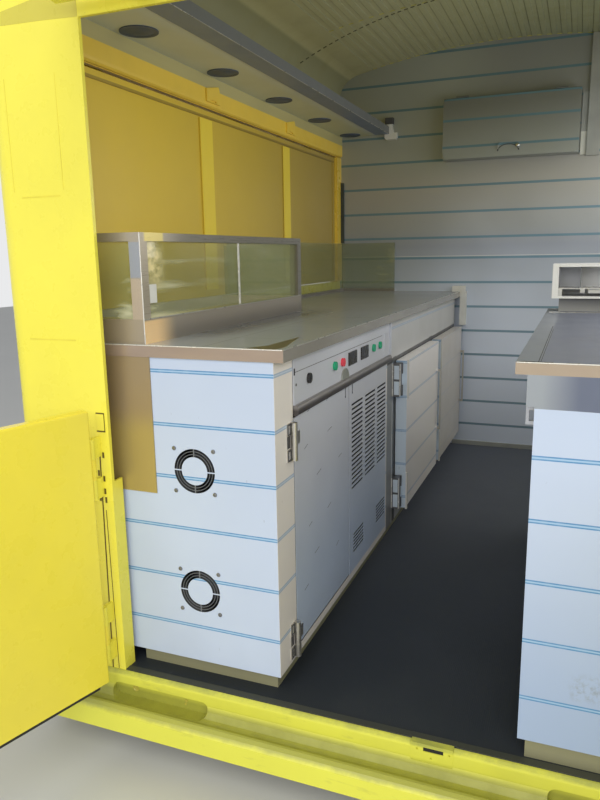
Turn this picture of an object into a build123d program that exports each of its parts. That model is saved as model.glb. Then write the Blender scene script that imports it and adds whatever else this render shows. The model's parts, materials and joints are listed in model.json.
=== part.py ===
"""Fitted service body of an ice cream van: shell, rear doors, side hatch and two counters.

Millimetres. X points to the vehicle's right, Y forward and Z up. The origin is the centre of the
underframe's footprint, on the plane that the underframe's two rails stand on.
"""
import os
from math import atan2, cos, sin, sqrt

from build123d import *

os.makedirs("parts", exist_ok=True)

# Shell: half widths, ends and thicknesses
HALF_WIDTH = 910.0          # centre line to the outermost skin
WALL_T = 44.0               # whole side wall, ribs included
RIB_PROUD = 8.0             # how far a pressed rib stands out of the skin
REAR_Y = -1170.0            # rear face of the corner posts
FRONT_Y = 1316.0            # front face of the bulkhead
CORNER_R = 50.0             # rounding of the rear corners in plan
SKIRT_Z = 62.0              # lower edge of the side skins
ROOF_T = 28.0
ROOF_RADIUS = 3312.0        # inner radius of the roof's shallow arch
EAVE_R = 129.0              # inner radius where the roof turns into the side wall
FLUTE_PITCH = 45.0          # pressed lines along the roof
FLUTE_DEPTH = 3.0
FLUTE_SIDE = 15             # lines each side of the middle one
ROOF_SEAM_Y = 600.0
ROOM_H = 2032.0             # floor mat to the crown of the roof, inside
BULKHEAD_T = 32.0
LINING_T = 6.0
FIT_GAP = 0.3               # seated rigid pieces that must not share a face
SWING_GAP = 5.0             # moving panels to whatever they pass

# Underframe and floor, from the standing plane upwards
RAIL_H = 180.0
RAIL_W = 60.0
RAIL_X = 400.0
CROSS_H = 110.0
CROSS_W = 60.0
ROCKER_W = 40.0
PAN_T = 29.0
MAT_T = 6.0
FLOOR_Z = RAIL_H + PAN_T + MAT_T
CROSS_Y = (-1099.0, -95.0, 330.0, 750.0, 1170.0)
CENTRE_W = 120.0            # central cross-member, as deep as the rails
BOLT_R = 6.5                # four body bolts down through the rails
BOLT_Y = 900.0

# Rear wheel arches, above an axle that is not part of this body
ARCH_Y = -520.0
ARCH_Z = 140.0
ARCH_R = 350.0
ARCH_SHEET = 6.0
ARCH_DEPTH = 190.0          # inboard of the side wall's inner face

# Rear doorway, step and doors
DOORWAY_HALF = 630.0
DOORWAY_H = 1527.0
POST_T = 10.0               # folded edge of the posts and the header
POST_RETURN = 110.0
JAMB_IN = 41.0              # depth of the lower jambs, from the posts' rear face
JAMB_H = 500.0              # lower jambs' height above the floor
JAMB_T = 6.0
UNDER_IN = 41.0             # rails and rockers start this far inside the posts' rear face
STEP_REACH = 84.0           # step behind the posts' rear face
STEP_DROP = 54.0            # step board below the floor
STEP_BASE_Z = 102.0
STEP_HALF = 880.0
LIP_T = 12.0                # upright lip of the step, behind the posts' rear face
RIDGE_IN = 58.0             # inner edge of the step board, from the same face
TROUGH_DROP = 14.0          # trough between lip and board, below the board
POCKET_X = (-660.0, -388.0)
POCKET_DEPTH = 10.0         # cut into the lip
POCKET_TOP = 30.0           # pocket's upper edge below the floor
DOOR_SET = 18.0             # doors' inner face behind the posts
DOOR_T = 30.0
DOOR_OVERLAP = 18.0         # door leaf past the doorway's edge
DOOR_SPLIT_H = 684.0        # top of the half doors above the floor
DOOR_DROP = 8.0             # doors' lower edge below the floor
DOOR_SEAL_H = 16.0
DOOR_SEAL_T = 6.0
DOOR_HINGE_H = (110.0, 538.0)   # hinge centres above the floor
DOOR_OPEN_DEG = 106.0       # how far the half doors stand open
FLAP_OPEN_DEG = 100.0
HINGE_PIN_R = 4.0
HINGE_KNUCKLE_R = 8.0
KNUCKLE_SHARE = 0.34        # moving middle barrel's share of a hinge
PIN_CLEAR = 0.2

# Side hatch in the left wall
HATCH_IN = 160.0            # hatch opening from the rear face
HATCH_LENGTH = 2213.0
HATCH_SILL_H = 880.0        # above the floor
HATCH_HEAD_H = 1534.0
HATCH_T = 28.0
HATCH_RIB_Y = ((-238.0, -151.0), (496.0, 572.0))
HATCH_RIB_T = 7.0
RAIL_T = 16.0               # folded rail over the hatch, inside
BRACKET_Y = (-177.0, 538.0)
BRACKET_W = 94.0
BRACKET_H = 60.0
BRACKET_HEAD = 27.0         # brackets' top below the soffit
CORNER_SEAL = (16.0, 14.0)
CORNER_SEAL_H = (1087.0, 1405.0)

# Soffit over the left counter
SOFFIT_H = 1639.0           # above the floor
SOFFIT_W = 215.0            # from the wall to the channel
SOFFIT_T = 18.0
SOFFIT_RETURN = 42.0        # board folded down along the wall
CHANNEL_H = 36.0
CHANNEL_W = 64.0
CHANNEL_T = 3.0
PLUG_D = 24.0               # plastic plug between the channel and the bulkhead
LAMP_IN = 81.0              # lamp centres from the wall
LAMP_Y = (-707.0, -213.0, 268.0, 745.0, 1212.0)
LAMP_R = 54.0
LAMP_HOLE_R = 46.0

# Left counter
LC_REACH = 644.0            # from the left wall to the counter's front
LC_DEPTH = 420.0
LC_IN = 52.0                # counter's near end from the rear face
LC_END_GAP = 41.0           # counter's far end from the bulkhead
TOP_H = 828.0               # worktops above the floor
TOP_T = 28.0
LC_FOOT = 37.0              # carcass above the floor
PLINTH_SETBACK = 14.0
LC_SKIN = 15.0
LC_TOP_SKIN = 10.0          # over the machine bay
LC_OVERHANG = 26.0
LC_END_OVERHANG = 5.0
STILE_W = 106.0             # near front stile
DOOR_TOP_H = 662.0          # top of the service door above the floor
LC_DOOR_FOOT = 62.0
LC_LEAF_T = 18.0
SERVICE_DOOR_W = 435.0
SERVICE_HINGE_H = (93.0, 600.0)     # hinge centres above the floor
LOUVRE_W = 434.0
FASCIA_H = 118.0
FASCIA_T = 3.0
PULL_H = 26.0
PULL_PROUD = 14.0
FRIDGE_DOOR_T = 40.0
FRIDGE_TOP_H = 647.0
FRIDGE_FOOT_H = 86.0
FRIDGE_WALL = 40.0
GASKET_GAP = 3.0
FRIDGE_DOORS = ((1095.0, 607.0), (1758.0, 579.0))   # from the counter's near end, then width

LATCH_SLOT = (10.0, 42.0)
LATCH_SLOT_H = 643.0        # above the floor

# Controls on the fascia: places from the counter's near end, then radius and height or sizes
CONTROL_H = 732.0           # above the floor
GREEN_AT = (399.0, 784.0, 860.0)
RED_AT = 468.0
BUTTON = (12.0, 7.0)
KEY_AT = 204.0
KEY = (13.0, 6.0)
DISPLAY_AT = (561.0, 684.0)
DISPLAY = (74.0, 38.0, 4.0)     # along the counter, high, proud
CATCH_AT = 487.0
CATCH = (30.0, 5.0)

COMPRESSOR_IN = (50.0, 90.0, 30.0, 60.0)    # from the back, the front and the louvred panel's ends
COMPRESSOR_H = 330.0

END_PLATE_W = 324.0         # bare sheet beside the end panel
END_PLATE_FOOT_H = 467.0    # above the floor
END_PLATE_T = 3.0

# Louvres: near edge from the panel's own near edge, then width
LOUVRE_COLUMNS = ((24.0, 116.0), (166.0, 116.0), (308.0, 106.0))
LOUVRE_H = (322.0, 596.0)   # above the floor
LOUVRE_ROWS = 19
LOUVRE_SLOT_T = 6.5
LOUVRE_STILE = 12.0         # front stile beyond the louvred panel
SMALL_GRILLE_COLUMNS = ((40.0, 112.0), (300.0, 112.0))
SMALL_GRILLE_H = (112.0, 178.0)
SMALL_GRILLE_ROWS = 6

# Fans in the left counter's end panel
FAN_H = (225.0, 532.0)      # centres above the floor
FAN_SLOTS = ((48.6, 54.2), (41.6, 47.2), (34.6, 40.2))
FAN_SPOKE = 3.0
FAN_BOLT_PITCH = 105.0
FAN_BOLT_R = 2.2
FAN_FRAME = 119.0
FAN_FRAME_T = 38.0
FAN_BORE_R = 57.0
FAN_ROTOR_R = 51.0
FAN_HUB_R = 30.0

# Glass guard on the left counter
RISER_W = 314.0
RISER_IN = 8.0              # riser's near end from the counter's
RISER_LENGTH = 1000.0
RISER_H = 58.0
RISER_RIM = 14.0
RISER_WELL = 34.0
GUARD_TOP_H = 1085.0
GUARD_POST = 30.0
GUARD_RAIL_H = 20.0
GLASS_T = 6.0
GLASS_JOINT = 525.0         # joint of the long pane from the riser's near end
CURB_H = 14.0
CURB_W = 18.0

# Right counter
RC_DEPTH = 300.0
RC_POST_GAP = 7.0           # counter's back to the doorway's edge
RC_IN = 10.0                # counter's near end from the rear face
RC_LENGTH = 1316.0
RC_FOOT = 50.0
RC_OVERHANG = 37.0
RC_LEAF_T = 18.0
RC_TOP_T = 23.0
RC_FASCIA_H = 60.0          # proud strip under the worktop
RC_FASCIA_T = 15.0
RC_DOOR_W = 430.0
RC_BAY_NEAR = (40.0, 530.0)     # bays' near edges from the counter's near end
RC_SILL_H = 74.0            # doors' lower edge above the floor
RC_SET = 2.0                # doors behind the counter's face
PIVOT_R = 4.0
PIVOT_IN = 9.0              # pivot from the door's end
PIVOT_L = 12.0

# Open steel box on the right worktop
RBOX_W = 310.0
RBOX_D = 144.0
RBOX_IN = (24.0, 6.0)       # box's edge outside the counter's face, and its back from the counter's far end
RBOX_H = (44.0, 157.0)      # above the worktop
RBOX_RIM = (20.0, 10.0, 7.0)    # side, top and bottom rims
RBOX_BACK_T = 12.0
RBOX_BASE_IN = 24.0         # base set back under the box

# Wall cupboard on the bulkhead
CUP_FROM_WALL = 574.0
CUP_W = 632.0
CUP_H = (1480.0, 1767.0)    # above the floor
CUP_DEPTH = 90.0
CUP_WALL = 12.0
CUP_DOOR_T = 14.0
CUP_CORNER = 24.0
CUP_HINGE_L = 60.0
CUP_HINGE_R = 5.0
CUP_HINGE_IN = 90.0         # hinge centres from the cupboard's ends
PULL_ARCH = (106.0, 36.0, 8.0)      # arched pull: width, height and thickness of its rim
PULL_FROM_END = 315.0       # pull's centre from the cupboard's left end
CUP_PULL_H = 33.0           # pull's ends above the cupboard's lower edge
PULL_LOCK = (44.0, 13.0, 8.0)   # lock beside the pull's middle, above its ends, and its radius

INNER_HALF = HALF_WIDTH - WALL_T
CROWN_Z = FLOOR_Z + ROOM_H
LINING_Y = FRONT_Y - BULKHEAD_T - LINING_T
DOORWAY_TOP = FLOOR_Z + DOORWAY_H
DOOR_SPLIT_Z = FLOOR_Z + DOOR_SPLIT_H
HATCH_Y = (REAR_Y + HATCH_IN, REAR_Y + HATCH_IN + HATCH_LENGTH)
TOP_Z = FLOOR_Z + TOP_H
TOP_UNDER_Z = TOP_Z - TOP_T
HATCH_Z = (FLOOR_Z + HATCH_SILL_H, FLOOR_Z + HATCH_HEAD_H)
SOFFIT_Z = FLOOR_Z + SOFFIT_H
SOFFIT_IN_X = -INNER_HALF + SOFFIT_W
LAMP_X = -INNER_HALF + LAMP_IN
LC_FRONT_X = -INNER_HALF + LC_REACH
LC_BACK_X = LC_FRONT_X - LC_DEPTH
LC_BASE_Z = FLOOR_Z + LC_FOOT
LC_NEAR_Y = REAR_Y + LC_IN
LC_FAR_Y = LINING_Y - LC_END_GAP
FRIDGE_BAYS = tuple((LC_NEAR_Y + near, LC_NEAR_Y + near + width) for near, width in FRIDGE_DOORS)
FAN_X = (LC_FRONT_X + LC_BACK_X) / 2
RISER_FRONT_X = -INNER_HALF + RISER_W
RISER_Y = (LC_NEAR_Y + RISER_IN, LC_NEAR_Y + RISER_IN + RISER_LENGTH)
RC_BACK_X = DOORWAY_HALF - RC_POST_GAP
RC_FACE_X = RC_BACK_X - RC_DEPTH
RC_Y = (REAR_Y + RC_IN, REAR_Y + RC_IN + RC_LENGTH)
RC_BASE_Z = FLOOR_Z + RC_FOOT
RC_UNDER_Z = TOP_Z - RC_TOP_T
CUP_X = (-INNER_HALF + CUP_FROM_WALL, -INNER_HALF + CUP_FROM_WALL + CUP_W)


def box(x, y, z):
    """A box from three (low, high) pairs."""
    size = (x[1] - x[0], y[1] - y[0], z[1] - z[0])
    middle = ((x[0] + x[1]) / 2, (y[0] + y[1]) / 2, (z[0] + z[1]) / 2)
    return Pos(*middle) * Box(*size)


def prism(points, axis, span):
    """Extrude an outline along an axis: (y, z) points for X, (x, z) for Y and (x, y) for Z."""
    low, high = span
    place = {"X": lambda a, b: (low, a, b),
             "Y": lambda a, b: (a, low, b),
             "Z": lambda a, b: (a, b, low)}[axis]
    way = {"X": (1, 0, 0), "Y": (0, 1, 0), "Z": (0, 0, 1)}[axis]
    face = make_face(Polyline(*[place(a, b) for a, b in points], close=True))
    return extrude(face, amount=high - low, dir=way)


def rod(start, axis, length, radius):
    """A cylinder that starts at a point and runs along a positive axis."""
    turn = {"X": Rot(0, 90, 0), "Y": Rot(-90, 0, 0), "Z": Rot(0, 0, 0)}[axis]
    align = (Align.CENTER, Align.CENTER, Align.MIN)
    return Pos(*start) * turn * Cylinder(radius, length, align=align)


def tube(start, axis, length, outer, inner):
    return rod(start, axis, length, outer) - rod(start, axis, length, inner)


def write(name, *shapes):
    """One STEP file for one node."""
    solids = []
    for shape in shapes:
        solids.extend(shape.solids())
    body = solids[0] if len(solids) == 1 else Compound(children=solids)
    export_step(body, f"parts/{name}.step")


def knuckles(centre, axis, length, radii=(HINGE_KNUCKLE_R, HINGE_PIN_R)):
    """Hinge barrels on one pin: (fixed ends with the pin, moving middle). Radii are barrel's and pin's."""
    x, y, z = centre
    barrel, pin = radii
    index = "XYZ".index(axis)

    def at(offset):
        point = [x, y, z]
        point[index] += offset
        return tuple(point)

    middle = length * KNUCKLE_SHARE
    end = (length - middle) / 2 - FIT_GAP
    fixed = (rod(at(-length / 2), axis, end, barrel)
             + rod(at(length / 2 - end), axis, end, barrel)
             + rod(at(-length / 2), axis, length, pin))
    moving = tube(at(-middle / 2), axis, middle, barrel, pin + PIN_CLEAR)
    return fixed, moving


# Roof section

def roof_arch(radius, eave, half):
    """Crown arc and eave arc of one roof skin: the eave's centre height and its join angle."""
    centre_z = CROWN_Z - ROOF_RADIUS
    reach = radius - eave
    eave_z = centre_z + sqrt(reach ** 2 - (half - eave) ** 2)
    angle = atan2(eave_z - centre_z, half - eave)
    return centre_z, eave_z, angle


def roof_outline(radius, eave, half, base_z):
    """A closed face under one roof skin, down to base_z."""
    centre_z, eave_z, angle = roof_arch(radius, eave, half)
    join = (radius * cos(angle), centre_z + radius * sin(angle))
    half_turn = angle / 2
    knee = (half - eave + eave * cos(half_turn), eave_z + eave * sin(half_turn))

    def spot(x, z):
        return (x, 0, z)

    lines = [
        Line(spot(-half, base_z), spot(half, base_z)),
        Line(spot(half, base_z), spot(half, eave_z)),
        ThreePointArc(spot(half, eave_z), spot(*knee), spot(*join)),
        ThreePointArc(spot(*join), spot(0, centre_z + radius), spot(-join[0], join[1])),
        ThreePointArc(spot(-join[0], join[1]), spot(-knee[0], knee[1]), spot(-half, eave_z)),
        Line(spot(-half, eave_z), spot(-half, base_z)),
    ]
    return make_face(Wire(lines)), eave_z


INNER_FACE, EAVE_Z = roof_outline(ROOF_RADIUS, EAVE_R, INNER_HALF, FLOOR_Z)
OUTER_FACE, _ = roof_outline(ROOF_RADIUS + ROOF_T, EAVE_R + ROOF_T, HALF_WIDTH, FLOOR_Z)


def along_y(face, span):
    """Extrude a section that lies in the XZ plane along Y."""
    solid = extrude(face, amount=span[1] - span[0], dir=(0, 1, 0))
    return Pos(0, span[0], 0) * solid


def plan_outline(half, rear, front, corner):
    """The shell's plan: square at the front, rounded at the rear corners."""
    tall = box((-half, half), (rear, front), (0, CROWN_Z + 100))
    edges = tall.edges().filter_by(Axis.Z).group_by(Axis.Y)[0]
    return fillet(edges, corner)


OUTER_PLAN = plan_outline(HALF_WIDTH, REAR_Y, FRONT_Y, CORNER_R)


def arch_cutter(radius, x):
    return rod((x[0], ARCH_Y, ARCH_Z), "X", x[1] - x[0], radius)


# Underframe, floor and step

def frame_rails():
    """Two rails that the body stands on, with its four bolt holes."""
    rails = []
    for s in (-1, 1):
        rail = box((s * RAIL_X - RAIL_W / 2, s * RAIL_X + RAIL_W / 2), (REAR_Y + UNDER_IN, FRONT_Y), (0, RAIL_H))
        for y in (-BOLT_Y, BOLT_Y):
            rail -= rod((s * RAIL_X, y, -1), "Z", RAIL_H + 2, BOLT_R)
        rails.append(rail)
    return rails


def cross_members():
    """Each cross-member is three lengths: between the rails and out to both rockers."""
    inner = RAIL_X - RAIL_W / 2
    outer = (RAIL_X + RAIL_W / 2, INNER_HALF - ROCKER_W)
    bars = [box((-inner, inner), (-CENTRE_W / 2, CENTRE_W / 2), (0, RAIL_H))]
    for y in CROSS_Y:
        span = (y - CROSS_W / 2, y + CROSS_W / 2)
        if abs(y) > CENTRE_W:
            bars.append(box((-inner, inner), span, (RAIL_H - CROSS_H, RAIL_H)))
        for s in (-1, 1):
            bars.append(box(sorted((s * outer[0], s * outer[1])), span, (RAIL_H - CROSS_H, RAIL_H)))
    return bars


def rockers():
    parts = []
    for s in (-1, 1):
        x = sorted((s * INNER_HALF, s * (INNER_HALF - ROCKER_W)))
        bar = box(x, (REAR_Y + UNDER_IN, FRONT_Y), (RAIL_H - CROSS_H, RAIL_H))
        parts.append(bar - arch_cutter(ARCH_R + ARCH_SHEET, x))
    return parts


def floor_plate(z, far):
    """A floor layer: the room's width, and the doorway's width out to the rear face."""
    plate = box((-INNER_HALF, INNER_HALF), (REAR_Y + POST_T, far), z)
    plate += box((-DOORWAY_HALF, DOORWAY_HALF), (REAR_Y, REAR_Y + POST_T + 1), z)
    for s in (-1, 1):
        plate -= arch_cutter(ARCH_R + ARCH_SHEET, sorted((s * (INNER_HALF - ARCH_DEPTH), s * HALF_WIDTH)))
    return plate


def floor_pan():
    return floor_plate((RAIL_H, RAIL_H + PAN_T), LINING_Y + LINING_T)


def floor_mat():
    return floor_plate((RAIL_H + PAN_T, FLOOR_Z), LINING_Y)


def wheel_box(sign):
    """Half drum over the wheel, closed on its inboard side."""
    inner = sign * (INNER_HALF - ARCH_DEPTH)
    x = sorted((inner, sign * INNER_HALF))
    drum = arch_cutter(ARCH_R + ARCH_SHEET, x)
    hollow = arch_cutter(ARCH_R, sorted((inner + sign * ARCH_SHEET, sign * (INNER_HALF + 1))))
    below = box(x, (ARCH_Y - 2 * ARCH_R, ARCH_Y + 2 * ARCH_R), (-2 * ARCH_R, RAIL_H))
    return drum - hollow - below


def rear_step():
    """Step across the back: upright lip, trough and a flat board, with two oblong pockets in the lip."""
    y0 = REAR_Y
    board_z = FLOOR_Z - STEP_DROP
    trough_z = board_z - TROUGH_DROP
    outer = y0 - STEP_REACH
    face = y0 - LIP_T
    ridge = y0 - RIDGE_IN
    profile = [(y0, STEP_BASE_Z), (y0, FLOOR_Z), (y0 - 4, FLOOR_Z - 1), (face + 2, FLOOR_Z - 5),
               (face + 0.5, FLOOR_Z - 11), (face, FLOOR_Z - 38), (face - 5, FLOOR_Z - 50),
               (face - 13, trough_z + 4), (face - 24, trough_z), (ridge + 12, trough_z),
               (ridge + 3, trough_z + 5), (ridge, board_z), (ridge - 8, board_z + 1),
               (outer + 8, board_z - 3), (outer, board_z - 11), (outer, STEP_BASE_Z)]
    step = prism(profile, "X", (-STEP_HALF, STEP_HALF))
    plan = box((-STEP_HALF, STEP_HALF), (outer, y0), (0, FLOOR_Z + 1))
    step = step & fillet(plan.edges().filter_by(Axis.Z).group_by(Axis.Y)[0], 22)
    for x in (POCKET_X, (-POCKET_X[1], -POCKET_X[0])):
        pocket = box(x, (ridge + 3, face + POCKET_DEPTH), (trough_z + 0.5, FLOOR_Z - POCKET_TOP))
        step -= fillet(pocket.edges().filter_by(Axis.Y), 18)
    return step - catch_recess()


def step_catch():
    """Folded catch plate let into the lip, with its slot and three screw holes."""
    face = REAR_Y - LIP_T
    upright = box((108, 198), (face - 1, face + 3), (FLOOR_Z - 42, FLOOR_Z + 1.5))
    top = box((108, 198), (face - 1, REAR_Y + 14), (FLOOR_Z, FLOOR_Z + 1.5))
    plate = upright + top
    plate -= box((135, 178), (face - 2, face + 6), (FLOOR_Z - 16, FLOOR_Z - 6))
    for x, drop in ((122, 12), (152, 29), (191, 12)):
        plate -= rod((x, face - 2, FLOOR_Z - drop), "Y", 8, 2.5)
    return plate


def catch_recess():
    """What the lip loses so that the catch plate and its bolt hole fit."""
    face = REAR_Y - LIP_T
    seat = box((108, 198), (face - 2, face + 3), (FLOOR_Z - 42, FLOOR_Z + 1))
    seat += box((135, 178), (face - 2, REAR_Y - 1), (FLOOR_Z - 16, FLOOR_Z - 6))
    return seat


# Shell

def rib_heights(low, high, pitch=84.0):
    count = int((high - low) // pitch)
    return [low + pitch * (i + 0.5) for i in range(count)]


def ribbed_section(low, high, bands):
    """Side wall section in (x, z) for the right side, with pressed ribs inside the given bands."""
    skin = HALF_WIDTH - RIB_PROUD
    points = [(INNER_HALF, high), (INNER_HALF, low), (skin, low)]
    for band_low, band_high in bands:
        for z in rib_heights(band_low, band_high):
            points += [(skin, z - 26), (HALF_WIDTH, z - 18), (HALF_WIDTH, z + 18), (skin, z + 26)]
    points.append((skin, high))
    return points


WALL_SPAN = (REAR_Y + POST_RETURN, FRONT_Y)


def side_wall(sign):
    """Ribbed wall: the whole right side, and the left side below its hatch."""
    bands = ((SKIRT_Z + 20, HATCH_Z[1 if sign > 0 else 0] - 30),)
    top = EAVE_Z if sign > 0 else HATCH_Z[0]
    points = [(sign * x, z) for x, z in ribbed_section(SKIRT_Z, top, bands)]
    wall = prism(points, "Y", WALL_SPAN)
    return wall - arch_cutter(ARCH_R, sorted((sign * (INNER_HALF - 1), sign * (HALF_WIDTH + 1))))


SKIN_X = (-HALF_WIDTH + RIB_PROUD, -INNER_HALF)


def cantrail():
    """Left wall above the hatch, with the fixed halves of the hatch's hinges."""
    rail = box(SKIN_X, WALL_SPAN, (HATCH_Z[1], EAVE_Z))
    for y in HATCH_HINGE_Y:
        fixed, _ = knuckles((HATCH_AXIS_X, y, HATCH_AXIS_Z), "Y", HATCH_HINGE_L)
        end = HATCH_HINGE_L * 0.32
        for low in (y - HATCH_HINGE_L / 2, y + HATCH_HINGE_L / 2 - end):
            fixed += box((HATCH_AXIS_X - 2, SKIN_X[0] + 1), (low, low + end), (HATCH_AXIS_Z, HATCH_AXIS_Z + 26))
        rail += fixed
    return rail


def hatch_pillars():
    """Wall at both ends of the hatch, each with its folded inner strip."""
    strip_x = (-INNER_HALF - 1, -INNER_HALF + 10)
    strip_z = (TOP_Z + RISER_H, HATCH_Z[1])
    rear = box(SKIN_X, (WALL_SPAN[0], HATCH_Y[0]), HATCH_Z)
    rear += box(strip_x, (WALL_SPAN[0], HATCH_Y[0] - 6), strip_z)
    front = box(SKIN_X, (HATCH_Y[1], WALL_SPAN[1]), HATCH_Z)
    front += box(strip_x, (HATCH_Y[1] + 6, LINING_Y), strip_z)
    return [rear, front]


def post_section(sign):
    """Corner post: a rear flange beside the doorway and a return along the side wall."""
    outer = box(sorted((sign * DOORWAY_HALF, sign * HALF_WIDTH)), (REAR_Y, REAR_Y + POST_RETURN),
                (SKIRT_Z, EAVE_Z))
    outer = outer & OUTER_PLAN
    void = box(sorted((sign * (DOORWAY_HALF - 1), sign * INNER_HALF)),
               (REAR_Y + POST_T, REAR_Y + POST_RETURN + 1), (SKIRT_Z - 1, EAVE_Z + 1))
    return outer - void


DOOR_AXIS_X = DOORWAY_HALF + DOOR_OVERLAP + HINGE_KNUCKLE_R + 1
DOOR_AXIS_Y = REAR_Y - DOOR_SET - DOOR_T / 2
DOOR_Z = (FLOOR_Z - DOOR_DROP, DOOR_SPLIT_Z)
DOOR_HINGE_Z = tuple(FLOOR_Z + h for h in DOOR_HINGE_H)
DOOR_HINGE_L = 150.0
FLAP_Z = (DOOR_SPLIT_Z + SWING_GAP, DOORWAY_TOP + DOOR_OVERLAP)
FLAP_AXIS_Z = FLAP_Z[1] + HINGE_KNUCKLE_R + 1
FLAP_HINGE_X = (-420.0, 420.0)
FLAP_HINGE_L = 120.0
HATCH_AXIS_X = -HALF_WIDTH - HINGE_KNUCKLE_R + 3
HATCH_AXIS_Z = HATCH_Z[1] - 1
HATCH_HINGE_Y = (-780.0, 96.0, 972.0)
HATCH_HINGE_L = 120.0


def rear_post(sign):
    post = post_section(sign)
    post += box(sorted((sign * DOORWAY_HALF, sign * (DOORWAY_HALF + JAMB_T))), (REAR_Y, REAR_Y + JAMB_IN),
                (FLOOR_Z, FLOOR_Z + JAMB_H))
    for z in DOOR_HINGE_Z:
        fixed, _ = knuckles((sign * DOOR_AXIS_X, DOOR_AXIS_Y, z), "Z", DOOR_HINGE_L)
        third = DOOR_HINGE_L / 3
        for low in (z - DOOR_HINGE_L / 2, z + DOOR_HINGE_L / 2 - third + 1):
            leaf = box(sorted((sign * (DOOR_AXIS_X - 3), sign * (DOOR_AXIS_X + 5))),
                       (DOOR_AXIS_Y, REAR_Y + 1), (low, low + third - 1))
            fixed += leaf
        post += fixed
    return post


def rear_header():
    low = DOORWAY_TOP
    section = box((-DOORWAY_HALF, DOORWAY_HALF), (REAR_Y, REAR_Y + POST_T), (low, EAVE_Z))
    dome = along_y(INNER_FACE, (REAR_Y, REAR_Y + POST_T))
    dome = dome & box((-INNER_HALF, INNER_HALF), (REAR_Y, REAR_Y + POST_T), (EAVE_Z, CROWN_Z + 1))
    header = section + dome
    for x in FLAP_HINGE_X:
        fixed, _ = knuckles((x, DOOR_AXIS_Y, FLAP_AXIS_Z), "X", FLAP_HINGE_L)
        third = FLAP_HINGE_L / 3
        for start in (x - FLAP_HINGE_L / 2, x + FLAP_HINGE_L / 2 - third + 1):
            fixed += box((start, start + third - 1), (DOOR_AXIS_Y, REAR_Y + 1),
                         (FLAP_AXIS_Z - 3, FLAP_AXIS_Z + 5))
        header += fixed
    return header


def flute(index, radii, widths, span):
    """One pressed line of the roof's crown: a long trapezoid between two radii."""
    angle = index * FLUTE_PITCH / ROOF_RADIUS
    low, high = radii
    wide, narrow = widths
    points = [(-wide / 2, low), (wide / 2, low), (narrow / 2, high), (-narrow / 2, high)]
    centre_z = CROWN_Z - ROOF_RADIUS
    turned = [(x * cos(angle) + r * sin(angle), centre_z + r * cos(angle) - x * sin(angle)) for x, r in points]
    return prism(turned, "Y", span)


def roof():
    """Shallow arch, fluted lengthways inside and ribbed outside, plain at its ends and at one seam."""
    span = (REAR_Y, FRONT_Y)
    shell = along_y(OUTER_FACE, span) - along_y(INNER_FACE, (span[0] - 1, span[1] + 1))
    spans = ((REAR_Y + POST_T + 20, ROOF_SEAM_Y - 12), (ROOF_SEAM_Y + 12, LINING_Y))
    flutes = []
    ribs = []
    for index in range(-FLUTE_SIDE, FLUTE_SIDE + 1):
        for run in spans:
            flutes.append(flute(index, (ROOF_RADIUS - 1, ROOF_RADIUS + FLUTE_DEPTH), (26, 18), run))
        outer = ROOF_RADIUS + ROOF_T
        ribs.append(flute(index, (outer - 1, outer + FLUTE_DEPTH), (26, 18), (REAR_Y + 60, FRONT_Y - 40)))
    shell = shell - flutes + ribs
    top = shell & box((-HALF_WIDTH, HALF_WIDTH), span, (EAVE_Z, CROWN_Z + ROOF_T + FLUTE_DEPTH + 1))
    return top & OUTER_PLAN


def bulkhead():
    panel = along_y(INNER_FACE, (FRONT_Y - BULKHEAD_T, FRONT_Y))
    panel = panel & box((-INNER_HALF, INNER_HALF), (FRONT_Y - BULKHEAD_T, FRONT_Y),
                        (RAIL_H + PAN_T, CROWN_Z + 1))
    base = box((-INNER_HALF, INNER_HALF), (FRONT_Y - BULKHEAD_T, FRONT_Y), (RAIL_H, FLOOR_Z + 1))
    return panel + base


def bulkhead_lining():
    sheet = along_y(INNER_FACE, (LINING_Y, LINING_Y + LINING_T))
    return sheet & box((-INNER_HALF, INNER_HALF), (LINING_Y, LINING_Y + LINING_T),
                       (FLOOR_Z, CROWN_Z + 1))


# Rear doors, flap and hatch

def door_leaf(sign):
    """Half door, closed: a smooth leaf with rounded edges."""
    edge = DOORWAY_HALF + DOOR_OVERLAP
    y = (DOOR_AXIS_Y - DOOR_T / 2, DOOR_AXIS_Y + DOOR_T / 2)
    leaf = box(sorted((sign * SWING_GAP / 2, sign * edge)), y, DOOR_Z)
    leaf = fillet(leaf.edges().filter_by(Axis.Z), 6)
    top = leaf.edges().filter_by(Axis.X).group_by(Axis.Z)[-1]
    leaf = fillet(top, 5)
    for z in DOOR_HINGE_Z:
        relief = box(sorted((sign * (DOOR_AXIS_X - HINGE_KNUCKLE_R - 2), sign * (edge + 1))),
                     (y[0] - 1, y[1] + 1), (z - DOOR_HINGE_L / 2 - 3, z + DOOR_HINGE_L / 2 + 3))
        leaf -= relief
        _, moving = knuckles((sign * DOOR_AXIS_X, DOOR_AXIS_Y, z), "Z", DOOR_HINGE_L)
        half = DOOR_HINGE_L * 0.17
        strap = box(sorted((sign * (DOOR_AXIS_X - HINGE_PIN_R - 2), sign * (edge - 30))),
                    (DOOR_AXIS_Y - 4, DOOR_AXIS_Y + 4), (z - half, z + half))
        leaf = leaf + moving + strap
    return leaf


def door_seal(sign):
    """Rubber strip under a half door, closed."""
    x = sorted((sign * (SWING_GAP / 2 + 4), sign * (DOORWAY_HALF - 4)))
    y = (DOOR_AXIS_Y - DOOR_SEAL_T / 2, DOOR_AXIS_Y + DOOR_SEAL_T / 2)
    return box(x, y, (DOOR_Z[0] - DOOR_SEAL_H, DOOR_Z[0]))


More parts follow.
